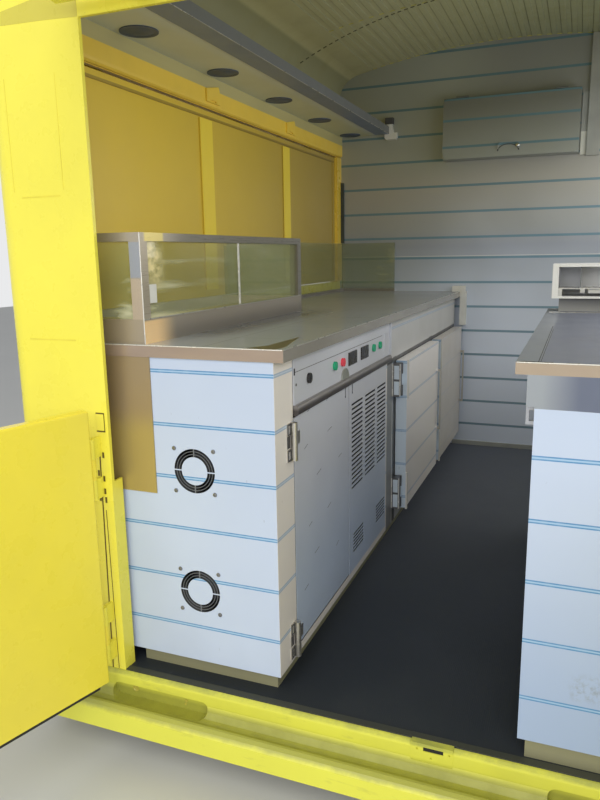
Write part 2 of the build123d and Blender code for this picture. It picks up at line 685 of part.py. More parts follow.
def opened(shape, sign):
    """Swing a closed half door's piece to where the door stands open."""
    axis = Axis((sign * DOOR_AXIS_X, DOOR_AXIS_Y, 0), (0, 0, 1))
    return shape.rotate(axis, sign * DOOR_OPEN_DEG)


def flap_leaf():
    y = (DOOR_AXIS_Y - DOOR_T / 2, DOOR_AXIS_Y + DOOR_T / 2)
    half = DOORWAY_HALF + DOOR_OVERLAP
    leaf = box((-half, half), y, FLAP_Z)
    leaf -= box((-half + 50, half - 50), (y[1] - 5, y[1] + 1), (FLAP_Z[0] + 40, FLAP_Z[1] - 40))
    for x in FLAP_HINGE_X:
        _, moving = knuckles((x, DOOR_AXIS_Y, FLAP_AXIS_Z), "X", FLAP_HINGE_L)
        third = FLAP_HINGE_L * 0.17
        leaf += moving + box((x - third, x + third), (DOOR_AXIS_Y - 4, DOOR_AXIS_Y + 4),
                             (FLAP_Z[1] - 2, FLAP_AXIS_Z - HINGE_PIN_R - 1))
    return leaf


def rear_flap():
    axis = Axis((0, DOOR_AXIS_Y, FLAP_AXIS_Z), (1, 0, 0))
    return flap_leaf().rotate(axis, -FLAP_OPEN_DEG)


def hatch():
    gap = SWING_GAP
    y = (HATCH_Y[0] + gap, HATCH_Y[1] - gap)
    z = (HATCH_Z[0] + gap, HATCH_Z[1] - gap)
    outer = -HALF_WIDTH + RIB_PROUD
    panel = box((outer, outer + HATCH_T), y, z)
    for low, high in HATCH_RIB_Y:
        panel += box((outer + HATCH_T, outer + HATCH_T + HATCH_RIB_T), (low, high), (z[0] + 24, z[1] - 30))
    rim = box((outer + HATCH_T - 0.5, outer + HATCH_T + 4), y, z)
    rim -= box((outer, 0), (y[0] + 26, y[1] - 26), (z[0] + 24, z[1] - 24))
    panel += rim
    for y_mid in HATCH_HINGE_Y:
        _, moving = knuckles((HATCH_AXIS_X, y_mid, HATCH_AXIS_Z), "Y", HATCH_HINGE_L)
        strap = box((HATCH_AXIS_X - 3, outer + 2), (y_mid - 20, y_mid + 20),
                    (HATCH_AXIS_Z - 44, HATCH_AXIS_Z - HINGE_PIN_R - 1))
        panel += moving + strap
    return panel


def hatch_rail():
    """Folded rail along the wall between the hatch and the soffit."""
    wall, face = -INNER_HALF, -INNER_HALF + RAIL_T
    low = HATCH_Z[1] + 4
    top = SOFFIT_Z - SOFFIT_RETURN
    section = [(wall, low), (face - 7, low), (face - 1, low + 5), (face, low + 14), (face, top), (wall, top)]
    rail = prism(section, "Y", (REAR_Y + POST_RETURN, LINING_Y))
    high = SOFFIT_Z - BRACKET_HEAD
    foot = high - BRACKET_H
    for y in BRACKET_Y:
        near, far = y - BRACKET_W / 2, y + BRACKET_W / 2
        side = [(near, foot), (near, high - 18), (far - 8, high), (far, high - 12), (far, foot)]
        tab = prism(side, "X", (face, face + 7))
        rail += tab - box((face + 2, face + 8), (y - 19, y + 19), (foot + 3, foot + 9))
    return rail


def corner_seal():
    """Dark rubber strip up the corner between the hatch pillar and the bulkhead's lining."""
    x = -INNER_HALF + 10
    depth, width = CORNER_SEAL
    return box((x, x + depth), (LINING_Y - width, LINING_Y),
               (FLOOR_Z + CORNER_SEAL_H[0], FLOOR_Z + CORNER_SEAL_H[1]))


def soffit():
    """Board over the counter, folded down along the wall as far as the hatch's rail."""
    y = (REAR_Y + POST_T, LINING_Y)
    board = box((-INNER_HALF, SOFFIT_IN_X), y, (SOFFIT_Z, SOFFIT_Z + SOFFIT_T))
    board += box((-INNER_HALF, -INNER_HALF + RAIL_T), (REAR_Y + POST_RETURN, LINING_Y),
                 (SOFFIT_Z - SOFFIT_RETURN, SOFFIT_Z + 1))
    for lamp_y in LAMP_Y:
        board -= rod((LAMP_X, lamp_y, SOFFIT_Z - 1), "Z", SOFFIT_T + 2, LAMP_HOLE_R)
    return board


CHANNEL_X = (SOFFIT_IN_X, SOFFIT_IN_X + CHANNEL_W)


def soffit_channel():
    """Grey folded channel along the soffit's inner edge, open at its top."""
    x = CHANNEL_X
    z = (SOFFIT_Z - CHANNEL_T, SOFFIT_Z - CHANNEL_T + CHANNEL_H)
    y = (REAR_Y + POST_T, LINING_Y - PLUG_D)
    channel = box(x, y, z)
    channel -= box((x[0] + CHANNEL_T, x[1] - CHANNEL_T), (y[0] - 1, y[1] + 1), (z[0] + CHANNEL_T, z[1] + 1))
    return channel + box((x[0] - 8, x[0] + 1), y, (z[0], z[0] + CHANNEL_T))


def downlights():
    lamps = []
    for y in LAMP_Y:
        ring = tube((LAMP_X, y, SOFFIT_Z - 3), "Z", 3, LAMP_R, LAMP_HOLE_R - 4)
        can = tube((LAMP_X, y, SOFFIT_Z), "Z", SOFFIT_T + 22, LAMP_HOLE_R, LAMP_HOLE_R - 4)
        cap = rod((LAMP_X, y, SOFFIT_Z + SOFFIT_T + 22), "Z", 4, LAMP_HOLE_R)
        lamps.append(ring + can + cap)
    return lamps


def bulkhead_trim():
    """Skirting along the lining's foot and two upright strips beside the cupboard."""
    y = (LINING_Y - 8, LINING_Y)
    foot = box((LC_FRONT_X, INNER_HALF), y, (FLOOR_Z, FLOOR_Z + 22))
    narrow = box((CUP_X[1] + 5, CUP_X[1] + 33), (LINING_Y - 10, LINING_Y), (CUP_Z[0] - 6, CUP_Z[1] - 8))
    wide = box((CUP_X[1] + 33, CUP_X[1] + 91), (LINING_Y - 20, LINING_Y), (CUP_Z[0] - 11, CROWN_Z))
    return [foot, (narrow + wide) & along_y(INNER_FACE, (LINING_Y - 20, LINING_Y))]


def end_blocks():
    """White plastic pieces at the bulkhead: the channel's plug and the left worktop's end blocks."""
    y = (LINING_Y - 38, LINING_Y)
    x = CHANNEL_X[1]
    low = SOFFIT_Z - 30
    neck = SOFFIT_Z + 2
    outline = [(x - 16, low), (x + 34, low), (x + 42, low + 9), (x + 42, neck), (x + 24, neck), (x + 14, neck + 38),
               (x + 20, neck + 44), (x + 20, neck + 74), (x - 20, neck + 74), (x - 20, neck + 44),
               (x - 6, neck + 38), (x - 12, neck), (x - 24, neck), (x - 24, low + 9)]
    plug = prism(outline, "Y", (LINING_Y - PLUG_D, LINING_Y))
    edge = LC_FRONT_X + LC_OVERHANG
    upstand = box((edge - 41, edge + 25), y, (TOP_Z, TOP_Z + 28))
    strip = box((edge, edge + 31), y, (FRIDGE_Z[1] + 7, TOP_Z))
    return [plug, upstand + strip]


# Wall cupboard

CUP_FRONT_Y = LINING_Y - CUP_DEPTH
CUP_Z = (FLOOR_Z + CUP_H[0], FLOOR_Z + CUP_H[1])
CUP_DOOR_Y = (CUP_FRONT_Y - CUP_DOOR_T - GASKET_GAP, CUP_FRONT_Y - GASKET_GAP)
CUP_AXIS = (CUP_FRONT_Y - CUP_HINGE_R - 0.5, CUP_Z[1] + 1)
CUP_HINGE_X = (CUP_X[0] + CUP_HINGE_IN, CUP_X[1] - CUP_HINGE_IN)


def wall_cupboard():
    shell = box(CUP_X, (CUP_FRONT_Y, LINING_Y), CUP_Z)
    shell -= box((CUP_X[0] + CUP_WALL, CUP_X[1] - CUP_WALL), (CUP_FRONT_Y - 1, LINING_Y - CUP_WALL),
                 (CUP_Z[0] + CUP_WALL, CUP_Z[1] - CUP_WALL))
    third = CUP_HINGE_L * 0.32
    for x in CUP_HINGE_X:
        fixed, _ = knuckles((x, *CUP_AXIS), "X", CUP_HINGE_L, radii=(CUP_HINGE_R, CUP_HINGE_R / 2))
        for start in (x - CUP_HINGE_L / 2, x + CUP_HINGE_L / 2 - third):
            fixed += box((start, start + third), (CUP_AXIS[0], CUP_FRONT_Y + 14),
                         (CUP_AXIS[1] - 2, CUP_AXIS[1] + 2))
        shell += fixed
    return shell


def cupboard_door():
    """Door with round corners, hung from its top edge."""
    door = box((CUP_X[0], CUP_X[1]), CUP_DOOR_Y, (CUP_Z[0], CUP_Z[1] - CUP_HINGE_R - 1))
    door = fillet(door.edges().filter_by(Axis.Y), CUP_CORNER)
    half = CUP_HINGE_L * 0.17
    for x in CUP_HINGE_X:
        _, moving = knuckles((x, *CUP_AXIS), "X", CUP_HINGE_L, radii=(CUP_HINGE_R, CUP_HINGE_R / 2))
        strap = box((x - half, x + half), (CUP_AXIS[0] - 2, CUP_AXIS[0] + 2),
                    (CUP_Z[1] - 10, CUP_AXIS[1] - CUP_HINGE_R / 2 - 0.8))
        door += moving + strap
    return door


def cupboard_pull():
    """Arched pull with a round lock beside its end."""
    width, height, rim = PULL_ARCH
    side, rise, radius = PULL_LOCK
    x, z = CUP_X[0] + PULL_FROM_END, CUP_Z[0] + CUP_PULL_H
    y = CUP_DOOR_Y[0]
    bow = box((x - width / 2, x + width / 2), (y - 9, y + 1), (z, z + height))
    bow = fillet(bow.edges().filter_by(Axis.Y).group_by(Axis.Z)[-1], height * 0.7)
    hollow = box((x - width / 2 + rim, x + width / 2 - rim), (y - 10, y), (z - 1, z + height - rim))
    bow -= fillet(hollow.edges().filter_by(Axis.Y).group_by(Axis.Z)[-1], height * 0.5)
    return bow + rod((x + side, y - 12, z + rise), "Y", 13, radius)


# Left counter

BAY_NEAR_Y = LC_NEAR_Y + STILE_W
LOUVRE_NEAR_Y = BAY_NEAR_Y + SERVICE_DOOR_W
LOUVRE_FAR_Y = LOUVRE_NEAR_Y + LOUVRE_W
LEAF_Z = (FLOOR_Z + LC_DOOR_FOOT, FLOOR_Z + DOOR_TOP_H)
BAY_Z = (LEAF_Z[0] - SWING_GAP, TOP_UNDER_Z - LC_TOP_SKIN)
SERVICE_AXIS = (LC_FRONT_X + HINGE_KNUCKLE_R + 1.5, BAY_NEAR_Y - 16)
SERVICE_HINGE_Z = tuple(FLOOR_Z + h for h in SERVICE_HINGE_H)
SERVICE_HINGE_L = 92.0
FRIDGE_Z = (FLOOR_Z + FRIDGE_FOOT_H, FLOOR_Z + FRIDGE_TOP_H)
FRIDGE_AXIS_X = LC_FRONT_X + GASKET_GAP + FRIDGE_DOOR_T / 2
FRIDGE_HINGE_L = 120.0
FRIDGE_HINGE_Z = (FRIDGE_Z[0] + 69, FRIDGE_Z[1] - 66)


def fan_slots(z):
    """Ring slots of one fan grille, each split by four spokes, and its four screw holes."""
    y = (LC_NEAR_Y - 1, LC_NEAR_Y + LC_SKIN + 1)
    long = y[1] - y[0]
    cut = None
    for inner, outer in FAN_SLOTS:
        ring = tube((FAN_X, y[0], z), "Y", long, outer, inner)
        cut = ring if cut is None else cut + ring
    cut -= box((FAN_X - 60, FAN_X + 60), y, (z - FAN_SPOKE / 2, z + FAN_SPOKE / 2))
    cut -= box((FAN_X - FAN_SPOKE / 2, FAN_X + FAN_SPOKE / 2), y, (z - 60, z + 60))
    half = FAN_BOLT_PITCH / 2
    for dx in (-half, half):
        for dz in (-half, half):
            cut += rod((FAN_X + dx, y[0], z + dz), "Y", long, FAN_BOLT_R)
    return cut


def left_end_panel():
    """Sheet that closes the counter's near end, with both fan grilles cut in it."""
    panel = box((LC_BACK_X, LC_FRONT_X), (LC_NEAR_Y, LC_NEAR_Y + LC_SKIN), (LC_BASE_Z, TOP_UNDER_Z))
    for h in FAN_H:
        panel -= fan_slots(FLOOR_Z + h)
    return panel


def left_machine_bay():
    """Frame of the machine bay: floor, back, top and front stiles, closed by the pieces at its ends."""
    body = box((LC_BACK_X, LC_FRONT_X), (LC_NEAR_Y + LC_SKIN, LOUVRE_FAR_Y), (LC_BASE_Z, TOP_UNDER_Z))
    body -= box((LC_BACK_X + LC_SKIN, LC_FRONT_X - LC_SKIN), (LC_NEAR_Y, LOUVRE_FAR_Y + 1), BAY_Z)
    body -= box((LC_FRONT_X - LC_SKIN - 1, LC_FRONT_X + 1), (BAY_NEAR_Y, LOUVRE_FAR_Y - LOUVRE_STILE), BAY_Z)
    for z in SERVICE_HINGE_Z:
        body += hinge_post(SERVICE_AXIS, z, SERVICE_HINGE_L, LC_FRONT_X, -26.0)
    return body


def left_fridge_body():
    """Insulated body with two bays, and the fixed halves and covers of the doors' hinges."""
    body = box((LC_BACK_X, LC_FRONT_X), (LOUVRE_FAR_Y, LC_FAR_Y), (LC_BASE_Z, TOP_UNDER_Z))
    for near, far in FRIDGE_BAYS:
        body -= box((LC_BACK_X + FRIDGE_WALL, LC_FRONT_X + 1), (near + FRIDGE_WALL, far - FRIDGE_WALL),
                    (FRIDGE_Z[0] + FRIDGE_WALL, FRIDGE_Z[1] - FRIDGE_WALL))
        for z in FRIDGE_HINGE_Z:
            body += hinge_post((FRIDGE_AXIS_X, near - 12), z, FRIDGE_HINGE_L, LC_FRONT_X, -18.0)
            cover = box((LC_FRONT_X - 1, LC_FRONT_X + 30), (near - 46, near - 23), (z - 60, z + 60))
            body += fillet(cover.edges().filter_by(Axis.Y).group_by(Axis.X)[-1], 8)
    return body


def hinge_post(axis, z, length, face_x, reach):
    """Fixed hinge half: knuckles on an upright pin, with leaves back to the face at face_x."""
    x, y = axis
    fixed, _ = knuckles((x, y, z), "Z", length)
    third = length * 0.32
    for low in (z - length / 2, z + length / 2 - third):
        fixed += box(sorted((x, face_x - sign_of(x - face_x))), sorted((y - 3, y + 3)),
                     (low, low + third))
        fixed += box(sorted((face_x - sign_of(x - face_x), face_x + 3 * sign_of(x - face_x))),
                     sorted((y + 3, y + reach)), (low, low + third))
    return fixed


def sign_of(value):
    return 1 if value > 0 else -1


def left_plinth():
    base = box((LC_BACK_X + 30, LC_FRONT_X - PLINTH_SETBACK), (LC_NEAR_Y + PLINTH_SETBACK, LC_FAR_Y - 20),
               (FLOOR_Z, LC_BASE_Z))
    base -= box((LC_BACK_X + 60, LC_FRONT_X - PLINTH_SETBACK - 30),
                (LC_NEAR_Y + PLINTH_SETBACK + 30, LC_FAR_Y - 50), (FLOOR_Z - 1, LC_BASE_Z + 1))
    return base


def left_worktop():
    near = LC_NEAR_Y - LC_END_OVERHANG
    return box((-INNER_HALF, LC_FRONT_X + LC_OVERHANG), (near, LINING_Y), (TOP_UNDER_Z, TOP_Z))


def riser():
    z = (TOP_Z, TOP_Z + RISER_H)
    block = box((-INNER_HALF, RISER_FRONT_X), RISER_Y, z)
    well = box((-INNER_HALF + RISER_RIM, RISER_FRONT_X - GUARD_POST - RISER_RIM),
               (RISER_Y[0] + GUARD_POST + RISER_RIM, RISER_Y[1] - GUARD_POST - RISER_RIM),
               (z[1] - RISER_WELL, z[1] + 1))
    return block - well


GUARD_Z = (TOP_Z + RISER_H, FLOOR_Z + GUARD_TOP_H)
GLASS_IN = 8.0              # glass behind the posts' outer faces


def guard_frame():
    front = RISER_FRONT_X
    post_x = (front - GUARD_POST, front)
    near = (RISER_Y[0], RISER_Y[0] + GUARD_POST)
    far = (RISER_Y[1] - GUARD_POST, RISER_Y[1])
    rail_z = (GUARD_Z[1] - GUARD_RAIL_H, GUARD_Z[1])
    frame = box(post_x, near, GUARD_Z) + box(post_x, far, GUARD_Z)
    frame += box((front - GUARD_POST, front), RISER_Y, rail_z)
    frame += box((-INNER_HALF, front - GUARD_POST), near, rail_z)
    clip_z = GUARD_Z[0] + 57
    frame += box((front - GLASS_IN, front - 3), (near[1] - 1, near[1] + 33), (clip_z - 20, clip_z + 20))
    curb_z = (TOP_Z, TOP_Z + CURB_H)
    frame += box((-INNER_HALF + 10, -INNER_HALF + 10 + CURB_W), (RISER_Y[1], LINING_Y), curb_z)
    frame += box((-INNER_HALF + 10, front), (LINING_Y - CURB_W, LINING_Y), curb_z)
    return frame


def guard_glass():
    front = RISER_FRONT_X
    z = (GUARD_Z[0], GUARD_Z[1] - GUARD_RAIL_H)
    inner = (RISER_Y[0] + GUARD_POST, RISER_Y[1] - GUARD_POST)
    wall_x = -INNER_HALF + 10
    joint = RISER_Y[0] + GLASS_JOINT
    pane_x = (front - GLASS_IN - GLASS_T, front - GLASS_IN)
    panes = [box(pane_x, (inner[0], joint - 1), z), box(pane_x, (joint + 1, inner[1]), z),
             box((wall_x + 2, front - GUARD_POST), (RISER_Y[0] + GLASS_IN, RISER_Y[0] + GLASS_IN + GLASS_T), z),
             box((wall_x + 2, front - GUARD_POST), (RISER_Y[1] - GLASS_IN - GLASS_T, RISER_Y[1] - GLASS_IN), z)]
    low = TOP_Z + CURB_H
    end_y = LINING_Y - CURB_W / 2
    panes.append(box((wall_x + 6, wall_x + 6 + GLASS_T), (RISER_Y[1] + 2, end_y - GLASS_T), (low, GUARD_Z[1])))
    panes.append(box((wall_x + 6, front), (end_y - GLASS_T + 1, end_y + 1), (low, GUARD_Z[1])))
    return panes


def end_plate():
    """Bare steel sheet that closes the corner between the end panel and the post."""
    return box((-INNER_HALF + 4, -INNER_HALF + 4 + END_PLATE_W), (LC_NEAR_Y - END_PLATE_T, LC_NEAR_Y),
               (FLOOR_Z + END_PLATE_FOOT_H, TOP_UNDER_Z))


FASCIA_Z = (TOP_UNDER_Z - FASCIA_H, TOP_UNDER_Z - 2)
FASCIA_Y = (BAY_NEAR_Y + 2, LOUVRE_FAR_Y + 26)
FASCIA_X = (LC_FRONT_X, LC_FRONT_X + FASCIA_T)
CONTROL_Z = FLOOR_Z + CONTROL_H


def control_fascia():
    plate = box(FASCIA_X, FASCIA_Y, FASCIA_Z)
    return plate + box((FASCIA_X[1], FASCIA_X[1] + 6), (FASCIA_Y[1] - 14, FASCIA_Y[1]), FASCIA_Z)


def round_control(y, radius, proud):
    return rod((FASCIA_X[1], LC_NEAR_Y + y, CONTROL_Z), "X", proud, radius)


def display(y):
    length, height, proud = DISPLAY
    middle = LC_NEAR_Y + y
    return box((FASCIA_X[1], FASCIA_X[1] + proud), (middle - length / 2, middle + length / 2),
               (CONTROL_Z - height / 2, CONTROL_Z + height / 2))


def pull_channel():
    """Dark rounded pull under the fascia, with its half-round catch."""
    z = (FASCIA_Z[0] - PULL_H, FASCIA_Z[0])
    y = (BAY_NEAR_Y + 2, LOUVRE_FAR_Y + LOUVRE_STILE)
    bar = box((LC_FRONT_X, LC_FRONT_X + PULL_PROUD), y, z)
    upper = bar.edges().filter_by(Axis.Y).group_by(Axis.X)[-1]
    bar = fillet(upper, 9)
    radius, proud = CATCH
    middle = LC_NEAR_Y + CATCH_AT
    catch = rod((FASCIA_X[1], middle, z[1]), "X", proud, radius)
    catch &= box((FASCIA_X[1], FASCIA_X[1] + proud), (middle - radius - 1, middle + radius + 1),
                 (z[1], z[1] + radius + 1))
    return bar + catch


def service_door():
    x = (LC_FRONT_X - LC_LEAF_T, LC_FRONT_X)
    y = (BAY_NEAR_Y + SWING_GAP, LOUVRE_NEAR_Y - SWING_GAP)
    z = (LEAF_Z[0], FASCIA_Z[0] - PULL_H - SWING_GAP)
    door = box(x, y, z)
    for hinge_z in SERVICE_HINGE_Z:
        door += moving_leaf(SERVICE_AXIS, hinge_z, SERVICE_HINGE_L, y[0])
    return door - latch_slot(y[1] - 30)


def latch_slot(y):
    """Upright slot near the top of a leaf of the left counter."""
    width, height = LATCH_SLOT
    z = FLOOR_Z + LATCH_SLOT_H
    return box((LC_FRONT_X - 8, LC_FRONT_X + 1), (y - width / 2, y + width / 2), (z - height / 2, z + height / 2))


def moving_leaf(axis, z, length, door_y):
    """Moving hinge half: it passes 0.8 mm in front of the stile and lies on the door."""
    x, y = axis
    _, moving = knuckles((x, y, z), "Z", length)
    half = length * 0.17
    face = LC_FRONT_X
    blade = box((face + 0.8, face + 3.5), (y, door_y + 30), (z - half, z + half))
    foot = box((face - 1, face + 2), (door_y + 1, door_y + 30), (z - half, z + half))
    return moving + blade + foot


def louvre_panel():
    x = (LC_FRONT_X - LC_LEAF_T, LC_FRONT_X)
    z = (LEAF_Z[0] - SWING_GAP, FASCIA_Z[0] - PULL_H)
    panel = box(x, (LOUVRE_NEAR_Y, LOUVRE_FAR_Y - LOUVRE_STILE), z)
    tables = ((LOUVRE_COLUMNS, LOUVRE_H, LOUVRE_ROWS), (SMALL_GRILLE_COLUMNS, SMALL_GRILLE_H, SMALL_GRILLE_ROWS))
    for columns, (low, high), rows in tables:
        pitch = (high - low) / rows
        for offset, width in columns:
            for row in range(rows):
                slot_z = FLOOR_Z + low + pitch * (row + 0.5)
                near = LOUVRE_NEAR_Y + offset
                panel -= box((x[0] - 1, x[1] + 1), (near, near + width),
                             (slot_z - LOUVRE_SLOT_T / 2, slot_z + LOUVRE_SLOT_T / 2))
    return panel - latch_slot(LOUVRE_NEAR_Y + 32)


def fridge_door(near, far):
    """Thick door on two hinges outside its near edge, each with an upright strap on the door's front."""
    x = (LC_FRONT_X + GASKET_GAP, LC_FRONT_X + GASKET_GAP + FRIDGE_DOOR_T)
    door = box(x, (near, far), FRIDGE_Z)
    for z in FRIDGE_HINGE_Z:
        _, moving = knuckles((FRIDGE_AXIS_X, near - 12, z), "Z", FRIDGE_HINGE_L)
        half = FRIDGE_HINGE_L * 0.17
        door += moving + box((FRIDGE_AXIS_X - 4, FRIDGE_AXIS_X + 4), (near - 12 + HINGE_PIN_R + 2, near + 1),
                             (z - half, z + half))
        door += box((x[1] - 1, x[1] + 6), (near + 1, near + 11), (z - 74, z + 68))
    return door


def fridge_pull(near, far):
    """Upright steel pull at the free edge of a fridge door."""
    x = LC_FRONT_X + GASKET_GAP + FRIDGE_DOOR_T
    y = (far - 34, far - 22)
    z = (FRIDGE_Z[0] + 170, FRIDGE_Z[1] - 120)
    bar = box((x + 14, x + 20), y, z)
    for end in (z[0], z[1] - 10):
        bar += box((x, x + 15), y, (end, end + 10))
    return bar


def fan_frame(z):
    """Square fan housing behind the end panel, with its hub pin."""
    y = (LC_NEAR_Y + LC_SKIN, LC_NEAR_Y + LC_SKIN + FAN_FRAME_T)
    half = FAN_FRAME / 2
    frame = box((FAN_X - half, FAN_X + half), y, (z - half, z + half))
    frame -= rod((FAN_X, y[0] - 1, z), "Y", FAN_FRAME_T + 2, FAN_BORE_R)
    for span_x, span_z in (((-half, half), (-3, 3)), ((-3, 3), (-half, half))):
        frame += box((FAN_X + span_x[0], FAN_X + span_x[1]), (y[1] - 5, y[1]), (z + span_z[0], z + span_z[1]))
    frame += rod((FAN_X, y[1] - 5, z), "Y", 5, 26)
    frame += rod((FAN_X, y[0] + 8, z), "Y", FAN_FRAME_T - 8, 3)
    return frame


def fan_rotor(z):
    y0 = LC_NEAR_Y + LC_SKIN + 8
    depth = FAN_FRAME_T - 8 - 5 - FIT_GAP
    hub = tube((FAN_X, y0, z), "Y", depth, FAN_HUB_R, 3 + PIN_CLEAR)
    for i in range(7):
        blade = box((FAN_HUB_R - 3, FAN_ROTOR_R), (0, depth - 3), (-1, 1))
        blade = Rot(0, i * 360 / 7, 0) * Rot(38, 0, 0) * Pos(0, -depth / 2, 0) * blade
        hub += Pos(FAN_X, y0 + depth / 2, z) * blade
    return hub


def compressor():
    """Cooling unit seen through the louvres, as one plain block on the carcass floor."""
    x = (LC_BACK_X + COMPRESSOR_IN[0], LC_FRONT_X - COMPRESSOR_IN[1])
    y = (LOUVRE_NEAR_Y + COMPRESSOR_IN[2], LOUVRE_FAR_Y - COMPRESSOR_IN[3])
    return box(x, y, (BAY_Z[0], BAY_Z[0] + COMPRESSOR_H))


# Right counter

RC_BAY_Y = tuple((RC_Y[0] + near, RC_Y[0] + near + RC_DOOR_W) for near in RC_BAY_NEAR)
RC_FASCIA_Z = RC_UNDER_Z - RC_FASCIA_H
RC_LEAF_Z = (FLOOR_Z + RC_SILL_H, RC_FASCIA_Z - SWING_GAP)
RC_LEAF_X = (RC_FACE_X + RC_SET, RC_FACE_X + RC_SET + RC_LEAF_T)


def right_pivot(far):
    """Upright axis of a right counter door, in plan."""
    return (RC_LEAF_X[0] + RC_LEAF_X[1]) / 2, far - SWING_GAP - PIVOT_IN


def right_carcass():
    """Counter under the right worktop: proud strip along its top, two bays and the doors' pivot pins."""
    body = box((RC_FACE_X, RC_BACK_X), RC_Y, (RC_BASE_Z, RC_UNDER_Z))
    body += box((RC_FACE_X - RC_FASCIA_T, RC_FACE_X + 1), RC_Y, (RC_FASCIA_Z, RC_UNDER_Z))
    low, high = RC_LEAF_Z[0] - SWING_GAP, RC_FASCIA_Z
    for near, far in RC_BAY_Y:
        body -= box((RC_FACE_X - 1, RC_LEAF_X[1] + GASKET_GAP), (near, far), (low, high))
        body -= box((RC_FACE_X, RC_BACK_X - 20), (near + 22, far - 26), (low + 18, high - 18))
        x, y = right_pivot(far)
        body += rod((x, y, low - 1), "Z", SWING_GAP + PIVOT_L + 1, PIVOT_R)
        body += rod((x, y, high - SWING_GAP - PIVOT_L), "Z", SWING_GAP + PIVOT_L + 1, PIVOT_R)
    return body


def right_plinth():
    base = box((RC_FACE_X + 15, RC_BACK_X - 15), (RC_Y[0] + 16, RC_Y[1] - 20), (FLOOR_Z, RC_BASE_Z))
    return base - box((RC_FACE_X + 45, RC_BACK_X - 45), (RC_Y[0] + 46, RC_Y[1] - 50),
                      (FLOOR_Z - 1, RC_BASE_Z + 1))


def right_worktop():
    """Worktop that runs round the corner post to the side wall."""
    left = RC_FACE_X - RC_OVERHANG
    step_y = REAR_Y + POST_T + 4
    points = [(left, RC_Y[0]), (DOORWAY_HALF - 4, RC_Y[0]), (DOORWAY_HALF - 4, step_y),
              (INNER_HALF, step_y), (INNER_HALF, RC_Y[1]), (left, RC_Y[1])]
    return prism(points, "Z", (RC_UNDER_Z, TOP_Z))


def right_door(near, far):
    """Inset door on two pivot pins at its far end, with a short pull near its free end."""
    door = box(RC_LEAF_X, (near + SWING_GAP, far - SWING_GAP), RC_LEAF_Z)
    door = fillet(door.edges().filter_by(Axis.Z).group_by(Axis.Y)[-1], PIVOT_IN - 0.1)
    x, y = right_pivot(far)
    depth = PIVOT_L + 0.5
    for low in (RC_LEAF_Z[0] - 1, RC_LEAF_Z[1] - depth):
        door -= rod((x, y, low), "Z", depth + 1, PIVOT_R + PIN_CLEAR)
    face = RC_LEAF_X[0]
    pull_y = (near + 16, near + 28)
    pull_z = (RC_LEAF_Z[1] - 42, RC_LEAF_Z[1] - 6)
    bar = box((face - 20, face - 14), pull_y, pull_z)
    for end in (pull_z[0], pull_z[1] - 7):
        bar += box((face - 15, face + 1), pull_y, (end, end + 7))
    return door + bar


def right_box():
    """Open steel box on a set-back base, on the far end of the right counter."""
    reach, back = RBOX_IN
    side, top, bottom = RBOX_RIM
    x = (RC_FACE_X - reach, RC_FACE_X - reach + RBOX_W)
    y = (RC_Y[1] - back - RBOX_D, RC_Y[1] - back)
    z = (TOP_Z + RBOX_H[0], TOP_Z + RBOX_H[1])
    frame = box(x, y, z)
    frame -= box((x[0] + side, x[1] - side), (y[0] - 1, y[1] - RBOX_BACK_T), (z[0] + bottom, z[1] - top))
    return frame + box((x[0] + RBOX_BASE_IN, x[1] - RBOX_BASE_IN), (y[0] + RBOX_BASE_IN, y[1]), (TOP_Z, z[0]))


